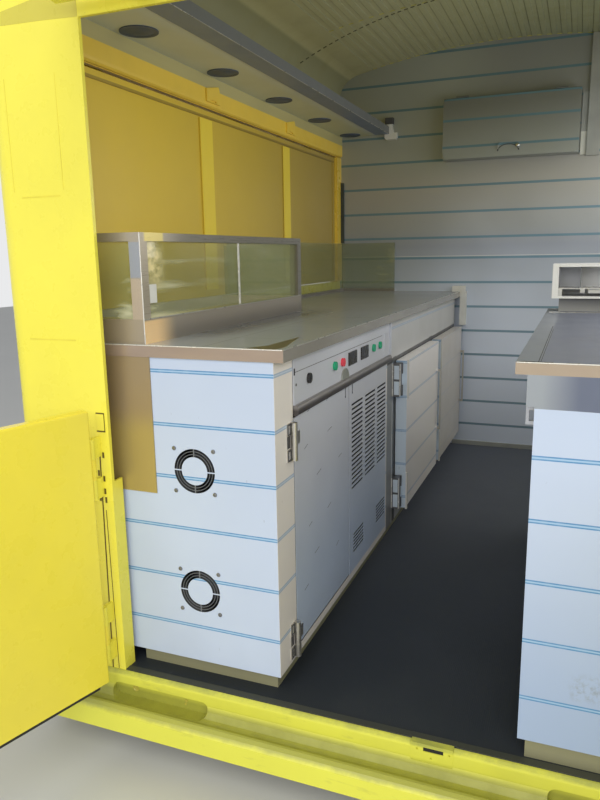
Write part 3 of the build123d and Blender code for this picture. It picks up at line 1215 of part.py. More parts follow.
def main():
    plain = {
        "floor_pan": floor_pan(),
        "floor_mat": floor_mat(),
        "rear_step": rear_step(),
        "step_catch": step_catch(),
        "side_wall_left": side_wall(-1),
        "cantrail_left": cantrail(),
        "side_wall_right": side_wall(1),
        "rear_post_left": rear_post(-1),
        "rear_post_right": rear_post(1),
        "rear_header": rear_header(),
        "roof": roof(),
        "bulkhead": bulkhead(),
        "bulkhead_lining": bulkhead_lining(),
        "corner_seal": corner_seal(),
        "rear_door_left": opened(door_leaf(-1), -1),
        "rear_door_right": opened(door_leaf(1), 1),
        "rear_door_seal_left": opened(door_seal(-1), -1),
        "rear_door_seal_right": opened(door_seal(1), 1),
        "rear_flap": rear_flap(),
        "side_hatch": hatch(),
        "hatch_rail": hatch_rail(),
        "soffit": soffit(),
        "soffit_channel": soffit_channel(),
        "wall_cupboard": wall_cupboard(),
        "cupboard_door": cupboard_door() + cupboard_pull(),
        "left_end_panel": left_end_panel(),
        "left_machine_bay": left_machine_bay(),
        "left_fridge_body": left_fridge_body(),
        "left_worktop": left_worktop(),
        "display_riser": riser(),
        "guard_frame": guard_frame(),
        "end_plate": end_plate(),
        "control_fascia": control_fascia(),
        "red_button": round_control(RED_AT, *BUTTON),
        "pull_channel": pull_channel(),
        "service_door": service_door(),
        "louvre_panel": louvre_panel(),
        "compressor": compressor(),
        "right_carcass": right_carcass(),
        "right_worktop": right_worktop(),
        "right_box": right_box(),
        "fan_rotor_upper": fan_rotor(FLOOR_Z + FAN_H[1]),
        "fan_rotor_lower": fan_rotor(FLOOR_Z + FAN_H[0]),
    }
    for name, shape in plain.items():
        write(name, shape)
    write("wheel_boxes", wheel_box(-1), wheel_box(1))
    write("plinths", left_plinth(), right_plinth())
    write("bulkhead_trim", *bulkhead_trim())
    write("end_blocks", *end_blocks())
    write("frame_rails", *frame_rails())
    write("cross_members", *cross_members())
    write("rockers", *rockers())
    write("hatch_pillars", *hatch_pillars())
    write("downlights", *downlights())
    write("guard_glass", *guard_glass())
    write("green_buttons", *[round_control(y, *BUTTON) for y in GREEN_AT])
    write("dark_controls", round_control(KEY_AT, *KEY), *[display(y) for y in DISPLAY_AT])
    write("fan_frames", *[fan_frame(FLOOR_Z + h) for h in FAN_H])
    for label, (near, far) in zip(("near", "far"), FRIDGE_BAYS):
        write(f"fridge_door_{label}", fridge_door(near, far) + fridge_pull(near, far))
    for label, (near, far) in zip(("near", "far"), RC_BAY_Y):
        write(f"right_door_{label}", right_door(near, far))


main()
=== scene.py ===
"""Looks of the fitted service body: paint, filmed and bare steel, glass, rubber and their fittings.

Metres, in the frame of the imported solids: X to the vehicle's right, Y forward, Z up.
"""
import json
import math

import bmesh
import bpy
from bpy.props import FloatProperty, FloatVectorProperty, PointerProperty
from mathutils import Matrix, Vector


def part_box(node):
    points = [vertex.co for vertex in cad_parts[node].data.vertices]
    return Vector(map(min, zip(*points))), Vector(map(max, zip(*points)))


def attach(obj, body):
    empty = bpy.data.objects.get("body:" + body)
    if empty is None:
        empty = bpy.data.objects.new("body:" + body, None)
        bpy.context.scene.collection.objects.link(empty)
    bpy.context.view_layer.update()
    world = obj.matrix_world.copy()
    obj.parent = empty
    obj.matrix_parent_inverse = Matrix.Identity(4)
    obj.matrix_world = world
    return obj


bl_info = {
    "name": "Service body looks",
    "version": (1, 0, 0),
    "blender": (4, 5, 0),
    "location": "3D View > Sidebar > Service body",
    "description": "Dresses the solids of a fitted service body with paint, film, steel and fittings",
    "category": "Object",
}

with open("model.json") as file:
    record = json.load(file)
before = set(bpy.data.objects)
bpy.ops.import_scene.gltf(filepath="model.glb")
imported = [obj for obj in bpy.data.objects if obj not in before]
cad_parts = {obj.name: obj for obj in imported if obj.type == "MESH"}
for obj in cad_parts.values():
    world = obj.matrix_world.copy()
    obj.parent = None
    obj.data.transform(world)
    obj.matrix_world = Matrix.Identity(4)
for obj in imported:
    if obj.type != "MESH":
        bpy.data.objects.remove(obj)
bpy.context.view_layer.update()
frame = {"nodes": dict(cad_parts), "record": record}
NODES = frame["nodes"]

# Places and sizes, in metres unless a comment says millimetres; a mask's pair gives where it is 0 and where 1
MM = 0.001
FLOOR_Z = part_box("floor_mat")[1].z
END_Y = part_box("end_plate")[1].y
FRONT_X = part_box("control_fascia")[0].x         # left counter's front, on which the fascia is laid
RIGHT_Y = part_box("right_worktop")[0].y
COLD_DOOR_T = 0.040                 # thickness of a cold door
COLD_FACE_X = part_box("fridge_door_near")[0].x + COLD_DOOR_T
HINGE_REACH = 0.020                 # how far a cold door's hinge strap reaches past its near edge
OUTER_SKIN = (-0.9000, -0.8990)     # X where the left wall turns from its outside to its inside
HINGE_STEEL = (FRONT_X + 0.0004, FRONT_X + 0.0008)      # what stands proud of the counter's front
BEHIND_FRONT = (FRONT_X - 0.0008, FRONT_X - 0.0014)
LEFT_FRONT_X = -0.1964              # front edge of the left worktop
RISER_X = -0.5524                   # front of the riser under the glass and of its guard
RISER_END = (-1.1092, -1.1096)      # Y of the riser's near end
GUARD_END = (-1.1092, -1.1097)
SHELL = "shell"
PAIR_LEFT = (0.3450, 0.12776)       # first printed pair and pitch on the left counter
PAIR_RIGHT = (0.3610, 0.1255)
RIDGE_Y = -1.228                    # inner edge of the step's outer board
FAN_REACH = 0.060                   # half width of a fan's grille
SCREW_REACH = 0.0525                # from a fan's centre to its screws, along X and Z
FAN_LANDS = (0.0344, 0.0544)        # inner and outer radius of the slotted part of a grille
FAN_SPOKE = (0.0011, 0.0016)        # height off a fan's centre where its level spoke ends
WORKTOP_JOINTS = (-0.931, -0.651, -0.331)       # Y of the joints in the left worktop's film
JOINT_W = 0.0025
FRINGE = 0.0006                     # soft edge of a printed band or joint
LINING_TOP_Z = 2.2                  # height at which the lining's shades end
LOW_BANDS = (FLOOR_Z + 0.117, 0.1262)           # first band and pitch below the lining's joint
HIGH_BANDS = (FLOOR_Z + 1.105, 0.129)
CUPBOARD_BANDS = (1.536, 1.660, 1.758)          # above the floor
LINING_JOINT = (FLOOR_Z + 1.008, FLOOR_Z + 1.0115)
MAT_RIB = 0.0045                    # pitch of the floor mat's ribs
TORN_Z = (0.9597, 0.9607)           # upper edge of the right counter's film
GUARD_TOP_Z = 1.279                 # top of the guard's posts, and the foot of the film on the near one
GUARD_FILM_Z = 1.196
BOX_FOOT_Z, BOX_FOOT_H = 1.0867, 0.044
SOFFIT_Z = (1.8539, 1.8535)         # underside of the soffit board
HATCH_RIB_X = (-0.8690, -0.8686)    # face of the hatch's ribs, inside
TOP_Z = 1.0429                      # upper side of the worktops' film
ON_TOP = (1042.9, 1043.3)           # reach of a mark laid on that film, in millimetres
MARK_T = 0.0004                     # thickness of a mark laid on a sheet
POST_Y = -1170.0                    # outer face of the rear posts, in millimetres
ON_POST = (POST_Y - 0.5, POST_Y + 0.2)          # reach of a thin mark on that face
STRIP_Z = 214.6                     # underside of the threshold strip, in millimetres
FASCIA_X = -219.2                   # front of the control fascia, in millimetres
LEAF_MARK_X = -0.2221               # front of the service door's film
SERVICE_HINGES = (("lower", 308), ("upper", 815))       # centre heights in millimetres
COLD_HINGES = (370, 796)
LAMP_PLACES = (-0.707, -0.213, 0.268, 0.745, 1.212)     # Y of the downlights
ROOF_CROWN, ROOF_EAVE, ROOF_HALF = 2.247, 2.0315, 0.866
SEAM_Y, STITCH_PITCH = 0.565, 0.027
CAMERA_PLACE = (0.3903, -2.4951, 1.2428)        # solved from the photograph's straight edges
CAMERA_RIGHT = (0.92955, 0.36832, -0.01640)
CAMERA_DOWN = (0.05980, -0.19452, -0.97907)
CAMERA_AHEAD = (-0.36381, 0.90912, -0.20284)
CAMERA_LENS = 31.504


def mount_point(name):
    """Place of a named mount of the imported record."""
    for mount in frame["record"]["mounts"]:
        if mount["name"] == name:
            return Vector(mount["pos_m"])
    raise KeyError(name)


FAN_PLACES = (mount_point("upper_fan_guard"), mount_point("lower_fan_guard"))

# Sizes and colours that a user would change, and the strengths of the lamps

def colour(name, text, default):
    return FloatVectorProperty(name=name, description=text, default=default, size=3, min=0.0, max=1.0,
                               subtype="COLOR")


def length(name, text, default):
    return FloatProperty(name=name, description=text, default=default, min=0.0, unit="LENGTH", precision=4)


def share(name, text, default):
    return FloatProperty(name=name, description=text, default=default, min=0.0, max=1.0, subtype="FACTOR")


def power(name, text, default):
    return FloatProperty(name=name, description=text, default=default, min=0.0, unit="POWER")


class PaintSettings(bpy.types.PropertyGroup):
    yellow: colour("Yellow", "Gloss paint of the shell, the doors and the step", (0.90, 0.81, 0.085))
    # painted light: the shell's yellow made warmer, for light reflected inside the body
    warm_inside_yellow: colour("Old yellow", "Paint of the hatch and the walls inside", (0.93, 0.66, 0.085))
    # partly painted shade: darkened for the roof's shaded underside
    roof: colour("Roof inside", "Dull paint under the roof", (0.335, 0.352, 0.20))
    grime: colour("Grime", "Dust and shoe marks on the paint", (0.30, 0.26, 0.10))
    underbody: colour("Underbody", "Dull paint of the rails and cross-members", (0.045, 0.043, 0.04))
    stroke: length("Brush stroke", "Pitch of the brush marks in the paint", 0.004)


class SheetSettings(bpy.types.PropertyGroup):
    film: colour("Film", "Protective film on the bright sheets", (0.52, 0.60, 0.775))
    stile: colour("Stile film", "Film on the left counter's front", (0.78, 0.735, 0.70))
    lining: colour("Lining", "Filmed steel of the bulkhead's lining at worktop height", (0.42, 0.465, 0.54))
    line: colour("Film line", "Printed double lines of the film", (0.08, 0.25, 0.50))
    line_middle: colour("Line middle", "Paler blue between the two lines of a pair", (0.33, 0.51, 0.72))
    band: colour("Lining band", "Single printed bands on the lining", (0.12, 0.245, 0.32))
    steel: colour("Steel", "Bare brushed sheet", (0.50, 0.48, 0.44))
    door_steel: colour("Door steel", "Satin sheet of the counter's doors", (0.63, 0.645, 0.71))
    line_gap: length("Line gap", "Gap between the two lines of a pair", 0.0034)
    line_width: length("Line width", "Width of one printed line", 0.0028)
    band_width: length("Band width", "Width of one band on the lining", 0.011)
    grain: length("Grain", "Pitch of the brushed grain", 0.0012)


class FittingSettings(bpy.types.PropertyGroup):
    screw: length("Screw head", "Radius of the fan screws' heads", 0.0054)
    edge_rod: length("Bright edge", "Radius of the polished folds along the worktops", 0.0013)
    rubber: colour("Rubber", "Seals and gaskets", (0.018, 0.018, 0.02))
    mat: colour("Floor mat", "Fine ribbed rubber floor", (0.021, 0.026, 0.034))
    glass: colour("Glass", "Slightly green float glass", (0.30, 0.34, 0.16))
    green: colour("Green lamps", "Lenses of the green lamps", (0.01, 0.36, 0.17))
    red: colour("Red lamp", "Lens of the red lamp", (0.75, 0.05, 0.08))
    chrome: colour("Chrome", "Screws and hinge pins", (0.62, 0.62, 0.62))


class StageSettings(bpy.types.PropertyGroup):
    ground: colour("Floor", "Plain pale floor", (0.62, 0.62, 0.61))
    backdrop: colour("Backdrop", "Plain pale background", (0.82, 0.83, 0.84))
    key_power: power("Key", "Power of the large soft lamp", 290.0)
    fill_power: power("Fill", "Power of the soft lamp on the right", 110.0)
    room_power: power("Room", "Power of the soft lamp by the right wall inside", 11.0)
    sky: share("Sky", "Strength of the even light from all round", 0.42)


GROUPS = (PaintSettings, SheetSettings, FittingSettings, StageSettings)
SETTING_NAMES = ("body_paint", "body_sheets", "body_fittings", "body_stage")


def paint_settings():
    return bpy.context.scene.body_paint


def sheet_settings():
    return bpy.context.scene.body_sheets


def fitting_settings():
    return bpy.context.scene.body_fittings


def stage_settings():
    return bpy.context.scene.body_stage


# Materials

class Finish:
    """One material and short calls that add and wire its nodes."""

    def __init__(self, name, **constants):
        self.material = bpy.data.materials.new(name)
        self.material.use_nodes = True
        self.tree = self.material.node_tree
        self.shader = self.tree.nodes["Principled BSDF"]
        for socket, value in constants.items():
            self.shader.inputs[socket.replace("_", " ")].default_value = value
        self.place = self.add("ShaderNodeTexCoord").outputs["Object"]

    def add(self, kind, **values):
        node = self.tree.nodes.new(kind)
        for key, value in values.items():
            setattr(node, key, value)
        return node

    def wire(self, source, target):
        self.tree.links.new(source, target)

    def fill(self, socket, value):
        """Link a socket's value where it is an output, else set it."""
        if isinstance(value, bpy.types.NodeSocket):
            self.wire(value, socket)
        else:
            socket.default_value = value

    def maths(self, operation, first, second=0.0, third=None):
        node = self.add("ShaderNodeMath", operation=operation)
        self.fill(node.inputs[0], first)
        self.fill(node.inputs[1], second)
        if third is not None:
            self.fill(node.inputs[2], third)
        return node.outputs[0]

    def part(self, axis):
        split = self.add("ShaderNodeSeparateXYZ")
        self.wire(self.place, split.inputs[0])
        return split.outputs[axis]

    def noise(self, scale, detail=3.0, stretch=(1, 1, 1), rough=0.5, distortion=0.0):
        """Noise in metres: scale is blobs per metre, stretch multiplies it along an axis."""
        mapping = self.add("ShaderNodeMapping")
        mapping.inputs["Scale"].default_value = stretch
        self.wire(self.place, mapping.inputs["Vector"])
        node = self.add("ShaderNodeTexNoise")
        self.wire(mapping.outputs[0], node.inputs["Vector"])
        node.inputs["Scale"].default_value = scale
        node.inputs["Detail"].default_value = detail
        node.inputs["Roughness"].default_value = rough
        node.inputs["Distortion"].default_value = distortion
        return node.outputs["Fac"]

    def ramp(self, value, stops):
        """Colour or grey ramp: stops are (place, colour or grey)."""
        node = self.add("ShaderNodeValToRGB")
        points = node.color_ramp.elements
        while len(points) < len(stops):
            points.new(1.0)
        for point, (place, shade) in zip(points, stops):
            point.position = place
            point.color = (*shade, 1.0) if hasattr(shade, "__len__") else (shade, shade, shade, 1.0)
        self.fill(node.inputs[0], value)
        return node.outputs["Color"]

    def mix(self, factor, first, second, blend="MIX"):
        node = self.add("ShaderNodeMix", data_type="RGBA", blend_type=blend)
        self.fill(node.inputs["Factor"], factor)
        for socket, value in ((node.inputs["A"], first), (node.inputs["B"], second)):
            self.fill(socket, value if isinstance(value, bpy.types.NodeSocket) else (*value, 1.0))
        return node.outputs["Result"]

    def step(self, value, low, high):
        """0 below low, 1 above high, smooth between."""
        node = self.add("ShaderNodeMapRange", interpolation_type="SMOOTHSTEP", clamp=True)
        self.fill(node.inputs["Value"], value)
        node.inputs["From Min"].default_value = low
        node.inputs["From Max"].default_value = high
        return node.outputs["Result"]

    def rise(self, axis, low, high):
        """0 up to low and 1 from high on, along an axis in metres; high may be the smaller one."""
        return self.step(self.part(axis), low, high)

    def times(self, first, *others):
        """Product of masks."""
        for other in others:
            first = self.maths("MULTIPLY", first, other)
        return first

    def either(self, first, *others):
        """Largest of masks."""
        for other in others:
            first = self.maths("MAXIMUM", first, other)
        return first

    def band(self, axis, low, high, soft=0.0004):
        """1 between low and high on an axis, in metres."""
        along = self.part(axis)
        return self.times(self.step(along, low - soft, low + soft), self.step(along, high + soft, high - soft))

    def bump(self, height, strength, depth, under=None):
        node = self.add("ShaderNodeBump")
        node.inputs["Strength"].default_value = strength
        node.inputs["Distance"].default_value = depth
        self.wire(height, node.inputs["Height"])
        if under is not None:
            self.wire(under, node.inputs["Normal"])
        return node.outputs["Normal"]

    def tint(self, base, shade, mask, amount):
        """Lay a shade over the base where the mask is, by a share."""
        return self.mix(self.maths("MULTIPLY", mask, amount), base, shade)

    def spots(self, low, high, *noise, **shape):
        """Mask of noise: 0 up to low, 1 from high on."""
        return self.ramp(self.noise(*noise, **shape), ((low, 0.0), (high, 1.0)))

    def drift(self, low, high, *noise, top=0.7, **shape):
        """Slow change between two colours or greys."""
        return self.ramp(self.noise(*noise, **shape), ((0.3, low), (top, high)))

    def metal(self, share):
        self.fill(self.shader.inputs["Metallic"], share)

    def sheen(self, scale, low, high, detail=4):
        """Roughness that drifts between two values."""
        return self.ramp(self.noise(scale, detail), ((0.3, low), (0.75, high)))

    def dents(self, strength, depth, *noise, under=None, **shape):
        return self.bump(self.noise(*noise, **shape), strength, depth, under)

    def finish(self, base, rough, normal=None):
        self.fill(self.shader.inputs["Base Color"], base)
        self.fill(self.shader.inputs["Roughness"], rough)
        if normal is not None:
            self.wire(normal, self.shader.inputs["Normal"])
        return self.material


def toned(shade, amount):
    return tuple(min(1.0, c * amount) for c in shade)


def painted(name, shade, dirt=0.5, gloss=0.22):
    """Gloss paint brushed over old panels: drift of colour, brush marks, dust, chips, and a darkening towards the
    bottom.
    """
    s = paint_settings()
    f = Finish(name)
    bright = toned(shade, 1.04)
    drift = f.drift(toned(shade, 0.93), bright, 1.3, 3, top=0.72)
    patch = f.spots(0.44, 0.80, 5.0, 5, rough=0.62)
    # darker towards the bottom, in the grime colour
    low = f.rise("Z", 0.95, 0.10)
    dirt_and_low_darkening = f.maths("ADD", f.times(patch, 0.16 * dirt), f.times(low, 0.10 * dirt))
    dirtied_and_darkened = f.mix(dirt_and_low_darkening, drift, s.grime)
    specks = f.spots(0.72, 0.77, 140.0, 2, rough=0.7)
    rare = f.spots(0.54, 0.68, 3.1, 2)
    chips = f.times(specks, rare, 0.5 * dirt)
    base = f.mix(chips, dirtied_and_darkened, toned(s.grime, 0.6))
    strokes = f.noise(1.0 / (s.stroke * 9), 4, stretch=(1, 1, 0.12), rough=0.6)
    normal = f.dents(0.28, 0.004, 7.0, 2)
    normal = f.bump(strokes, 0.14, 0.0012, normal)
    rough = f.sheen(22.0, gloss, gloss + 0.20)
    return f.finish(base, rough, normal)


def wall_paint_out_and_in(name):
    """Wall painted like the shell outside; inside the same paint, warmed as painted light."""
    p = paint_settings()
    f = Finish(name)
    fresh = f.drift(toned(p.yellow, 0.93), p.yellow, 1.3, 3, top=0.72)
    # painted light: the inside's warmer yellow stands for light reflected inside the body
    older = f.drift(toned(p.warm_inside_yellow, 0.88), p.warm_inside_yellow, 2.0, 3, top=0.72)
    base = f.mix(f.rise("X", *OUTER_SKIN), fresh, older)
    patch = f.spots(0.44, 0.80, 5.0, 5, rough=0.62)
    base = f.tint(base, p.grime, patch, 0.10)
    normal = f.dents(0.28, 0.004, 7.0, 2)
    return f.finish(base, f.ramp(patch, ((0.0, 0.26), (1.0, 0.44))), normal)


def off_pair(f, height, first, pitch):
    """Distance in metres from the nearest of the heights first + n * pitch."""
    turn = f.maths("FRACT", f.times(f.maths("SUBTRACT", height, first - pitch / 2), 1.0 / pitch))
    return f.times(f.maths("ABSOLUTE", f.maths("SUBTRACT", turn, 0.5)), pitch)


def print_pairs(f, base, pair, strength=1.0):
    """Printed double lines, with a paler blue between the two lines of a pair."""
    s = sheet_settings()
    width, gap = s.line_width, s.line_gap
    away = off_pair(f, f.part("Z"), *pair)
    middle = f.step(away, (gap + width) / 2, gap / 2)
    off_line = f.maths("ABSOLUTE", f.maths("SUBTRACT", away, (gap + width) / 2))
    line = f.step(off_line, width / 2 + 0.0003, width / 2 - 0.0003)
    worn = f.ramp(f.noise(60.0, 2), ((0.25, 0.8), (0.6, 1.0)))
    base = f.tint(base, s.line_middle, middle, strength * 0.85)
    return f.mix(f.times(line, worn, strength), base, s.line)


def film_shade(f, shade, amount=1.0):
    """Film's slow drift of colour, with soft smears and a few nicks."""
    drift = f.drift(toned(shade, 0.94), shade, 1.4, 3)
    smear = f.spots(0.50, 0.85, 5.0, 4, rough=0.6)
    base = f.tint(drift, toned(shade, 0.72), smear, 0.10 * amount)
    nicks = f.spots(0.785, 0.81, 120.0, 1, stretch=(1, 1, 0.3))
    return f.tint(base, toned(shade, 0.4), nicks, 0.30 * amount)


def film_waves(f, strength=1.0):
    """Low waves of thin sheet and fine wrinkles of its film."""
    normal = f.dents(0.16 * strength, 0.006, 3.0, 2, stretch=(1, 1, 0.5))
    return f.dents(0.04 * strength, 0.001, 55.0, 2, under=normal)


def fan_rings(f, base):
    """Dulls the thin lands between a grille's slots, apart from its level spokes."""
    soft = 0.0002
    for place in FAN_PLACES:
        across = f.maths("SUBTRACT", f.part("X"), place.x)
        up = f.maths("SUBTRACT", f.part("Z"), place.z)
        away = f.maths("SQRT", f.maths("ADD", f.times(across, across), f.times(up, up)))
        ring = f.times(f.step(away, FAN_LANDS[0] - soft, FAN_LANDS[0] + soft),
                       f.step(away, FAN_LANDS[1] + soft, FAN_LANDS[1] - soft),
                       f.step(f.maths("ABSOLUTE", up), *FAN_SPOKE))
        base = f.tint(base, (0.09, 0.09, 0.095), ring, 0.88)
    return base


def fan_sheet(name):
    """Filmed end sheet: black inside its grille slots, stile film on its front edge."""
    s = sheet_settings()
    f = Finish(name)
    base = print_pairs(f, film_shade(f, s.film), PAIR_LEFT)
    foot = f.times(f.rise("Z", 0.62, 0.30), f.spots(0.45, 0.7, 4.0, 3))
    base = f.tint(base, toned(s.film, 0.55), foot, 0.14)
    side = f.rise("X", FRONT_X - 0.0006, FRONT_X - 0.0002)
    base = f.mix(side, base, print_pairs(f, film_shade(f, s.stile), PAIR_LEFT, 0.6))
    inside = f.times(f.rise("Y", END_Y + 0.0006, END_Y + 0.0012),
                     f.band("X", FAN_PLACES[0].x - FAN_REACH, FAN_PLACES[0].x + FAN_REACH))
    base = f.mix(inside, base, (0.012, 0.012, 0.013))
    base = fan_rings(f, base)
    return f.finish(base, f.sheen(11.0, 0.28, 0.42), film_waves(f))


def bay_sheet(name):
    """Stile film outside, painted shade in near black within the machine bay, bright steel on the hinges' fixed
    halves.
    """
    s = sheet_settings()
    f = Finish(name)
    base = print_pairs(f, film_shade(f, s.stile), PAIR_LEFT, 0.6)
    x = f.part("X")
    # painted shade: near black on the faces set back from the counter's front
    inside = f.times(f.step(x, *BEHIND_FRONT), f.rise("Z", 0.262, 0.266))
    base = f.mix(inside, base, (0.02, 0.02, 0.02))
    hinge = f.step(x, *HINGE_STEEL)
    base = f.mix(hinge, base, toned(s.steel, 1.1))
    f.metal(f.times(hinge, 0.9))
    return f.finish(base, f.sheen(11.0, 0.28, 0.42), film_waves(f))


def leaf_sheet(name):
    """Satin filmed leaf of the left counter; what stands proud of it is bright hinge steel, and its faces set back
    from the front, such as the louvre's slots, are painted shade in near black.
    """
    s = sheet_settings()
    f = Finish(name)
    shade = s.door_steel
    base = film_shade(f, shade, 1.4)
    base = f.mix(f.rise("Z", 0.80, 0.35), base, (shade[0] * 0.86, shade[1] * 0.98, shade[2] * 1.12))
    x = f.part("X")
    hinge = f.step(x, *HINGE_STEEL)
    base = f.mix(hinge, base, toned(s.steel, 1.1))
    # painted shade: near black on faces set back from the front, as in the louvre's deep slots
    behind = f.step(x, FRONT_X - 0.0010, FRONT_X - 0.0016)
    base = f.mix(behind, base, (0.03, 0.03, 0.032))
    f.metal(f.maths("ADD", f.times(hinge, 0.7), 0.2))
    return f.finish(base, f.sheen(9.0, 0.30, 0.46), film_waves(f, 1.3))


def cold_body(name):
    """Cold counter's body: satin front with faint lines and painted shadow in the gaps over and beside the doors,
    pale liner, dark hinge covers.
    """
    f = Finish(name)
    front = print_pairs(f, film_shade(f, (0.56, 0.56, 0.57)), PAIR_LEFT, 0.35)
    shade = f.times(f.rise("Y", -0.068, -0.072), f.rise("Z", 0.872, 0.866))
    front = f.mix(shade, front, (0.20, 0.205, 0.21))
    x = f.part("X")
    liner = f.drift(0.62, 0.70, 3.0, 3)
    # painted shadow on the body's front where the gaps over and beside the doors show it
    over_doors = f.band("Z", 0.859, 0.876, 0.002)
    beside_doors = (f.band("Y", -0.060, -0.020, 0.001), f.band("Y", 0.580, 0.645, 0.001))
    gap = f.times(f.either(over_doors, *beside_doors), f.rise("Z", 0.880, 0.876))
    front = f.tint(front, (0.03, 0.032, 0.036), gap, 0.92)
    base = f.mix(f.step(x, *BEHIND_FRONT), front, liner)
    cap = f.step(x, *HINGE_STEEL)
    base = f.mix(cap, base, (0.16, 0.16, 0.17))
    f.metal(f.times(cap, 0.7))
    return f.finish(base, f.sheen(9.0, 0.30, 0.46), film_waves(f))


def cold_door(name, near, shade, lines):
    """Pale filmed cold door: faint lines on its face, light blue film on its near edge, steel straps."""
    s = sheet_settings()
    f = Finish(name)
    face = print_pairs(f, film_shade(f, shade), PAIR_LEFT, lines)
    edge = print_pairs(f, film_shade(f, (0.66, 0.76, 0.88)), PAIR_LEFT, 0.6)
    y = f.part("Y")
    base = f.mix(f.step(y, near + 0.0012, near + 0.0004), face, edge)
    strap = f.times(f.rise("X", COLD_FACE_X + 0.0004, COLD_FACE_X + 0.0008),
                    f.step(y, near + 0.02, near + 0.018))
    base = f.mix(strap, base, (0.72, 0.70, 0.66))
    pull = f.rise("X", COLD_FACE_X + 0.0064, COLD_FACE_X + 0.0068)
    base = f.mix(pull, base, s.steel)
    f.metal(f.maths("ADD", f.times(pull, 0.7), 0.1))
    return f.finish(base, f.sheen(9.0, 0.28, 0.42), film_waves(f))


def end_sheet(name):
    """Bare end plate: beige steel above, olive reflection below, a dark stain at its outer edge."""
    f = Finish(name, Metallic=0.35)
    z = f.part("Z")
    x = f.part("X")
    base = f.mix(f.step(z, 0.90, 0.82), (0.36, 0.27, 0.155), (0.46, 0.355, 0.125))
    base = f.mix(f.step(x, -0.655, -0.70), base, (0.30, 0.235, 0.10))
    stain = f.times(f.step(x, -0.775, -0.80), f.step(z, 0.70, 0.76))
    base = f.mix(stain, base, (0.10, 0.075, 0.04))
    blotch = f.times(f.band("X", -0.765, -0.705, 0.02), f.band("Z", 0.84, 0.93, 0.025))
    base = f.tint(base, (0.13, 0.10, 0.05), blotch, 0.7)
    grain = f.noise(700.0, 3, stretch=(1, 1, 0.012), rough=0.7)
    base = f.tint(base, (0.20, 0.15, 0.07), grain, 0.15)
    return f.finish(base, f.maths("ADD", f.times(grain, 0.14), 0.30), f.dents(0.12, 0.004, 3.0, 2))


def left_top(name):
    """Left worktop: bluish film with its joints, a painted reflection of the riser darkening it next to the riser,
    beige near edge, warm grey front.
    """
    s = sheet_settings()
    f = Finish(name)
    y = f.part("Y")
    x = f.part("X")
    far = f.step(y, -0.75, 0.35)
    top = f.mix(far, (0.375, 0.410, 0.45), (0.41, 0.42, 0.46))
    # painted reflection of the riser's dark face on the film next to it
    riser_reflection = f.times(f.step(x, -0.40, -0.50), f.step(y, -1.0, -0.8), f.step(y, 0.10, -0.30))
    top = f.tint(top, (0.15, 0.15, 0.15), riser_reflection, 0.80)
    joints = f.either(*(f.band("Y", place, place + JOINT_W, FRINGE) for place in WORKTOP_JOINTS),
                      f.times(f.band("X", -0.4012, -0.3988, FRINGE), f.step(y, 0.01, 0.0)))
    top = f.tint(top, (0.12, 0.13, 0.13), joints, 0.5)
    near = f.step(y, END_Y - 0.0042, END_Y - 0.0048)
    beige = f.drift((0.385, 0.295, 0.235), (0.44, 0.345, 0.275), 6.0, 4, stretch=(1, 1, 3))
    base = f.mix(near, top, beige)
    front = f.step(x, LEFT_FRONT_X - 0.0002, LEFT_FRONT_X + 0.0002)
    base = f.mix(front, base, f.drift((0.33, 0.31, 0.28), (0.40, 0.38, 0.345), 3.0, 3))
    below = f.rise("Z", 1.0405, 1.0395)
    sides = f.either(near, front)
    base = f.mix(f.times(below, f.maths("SUBTRACT", 1.0, sides)), base, s.steel)
    f.metal(f.maths("MULTIPLY_ADD", sides, 0.25, 0.12))
    normal = f.dents(0.10, 0.004, 2.5, 2)
    return f.finish(base, f.sheen(3.0, 0.22, 0.28, 2), normal)


def right_top(name):
    """Right worktop: satin bluish sheet, paler along its inner side, with a cream near edge."""
    f = Finish(name)
    top = f.mix(f.rise("Y", -1.0, -0.2), (0.31, 0.335, 0.46), (0.235, 0.26, 0.36))
    top = f.mix(f.rise("X", 0.334, 0.322), top, (0.38, 0.41, 0.50))
    smear = f.spots(0.5, 0.85, 6.0, 4)
    top = f.tint(top, (0.22, 0.23, 0.25), smear, 0.2)
    near = f.rise("Y", RIGHT_Y + 0.0008, RIGHT_Y + 0.0004)
    cream = f.drift((0.37, 0.29, 0.22), (0.425, 0.34, 0.26), 7.0, 4, stretch=(1, 1, 2))
    base = f.mix(near, top, cream)
    f.metal(f.maths("MULTIPLY_ADD", near, -0.25, 0.30))
    return f.finish(base, f.sheen(9.0, 0.34, 0.48), f.dents(0.10, 0.004, 3.0, 2))


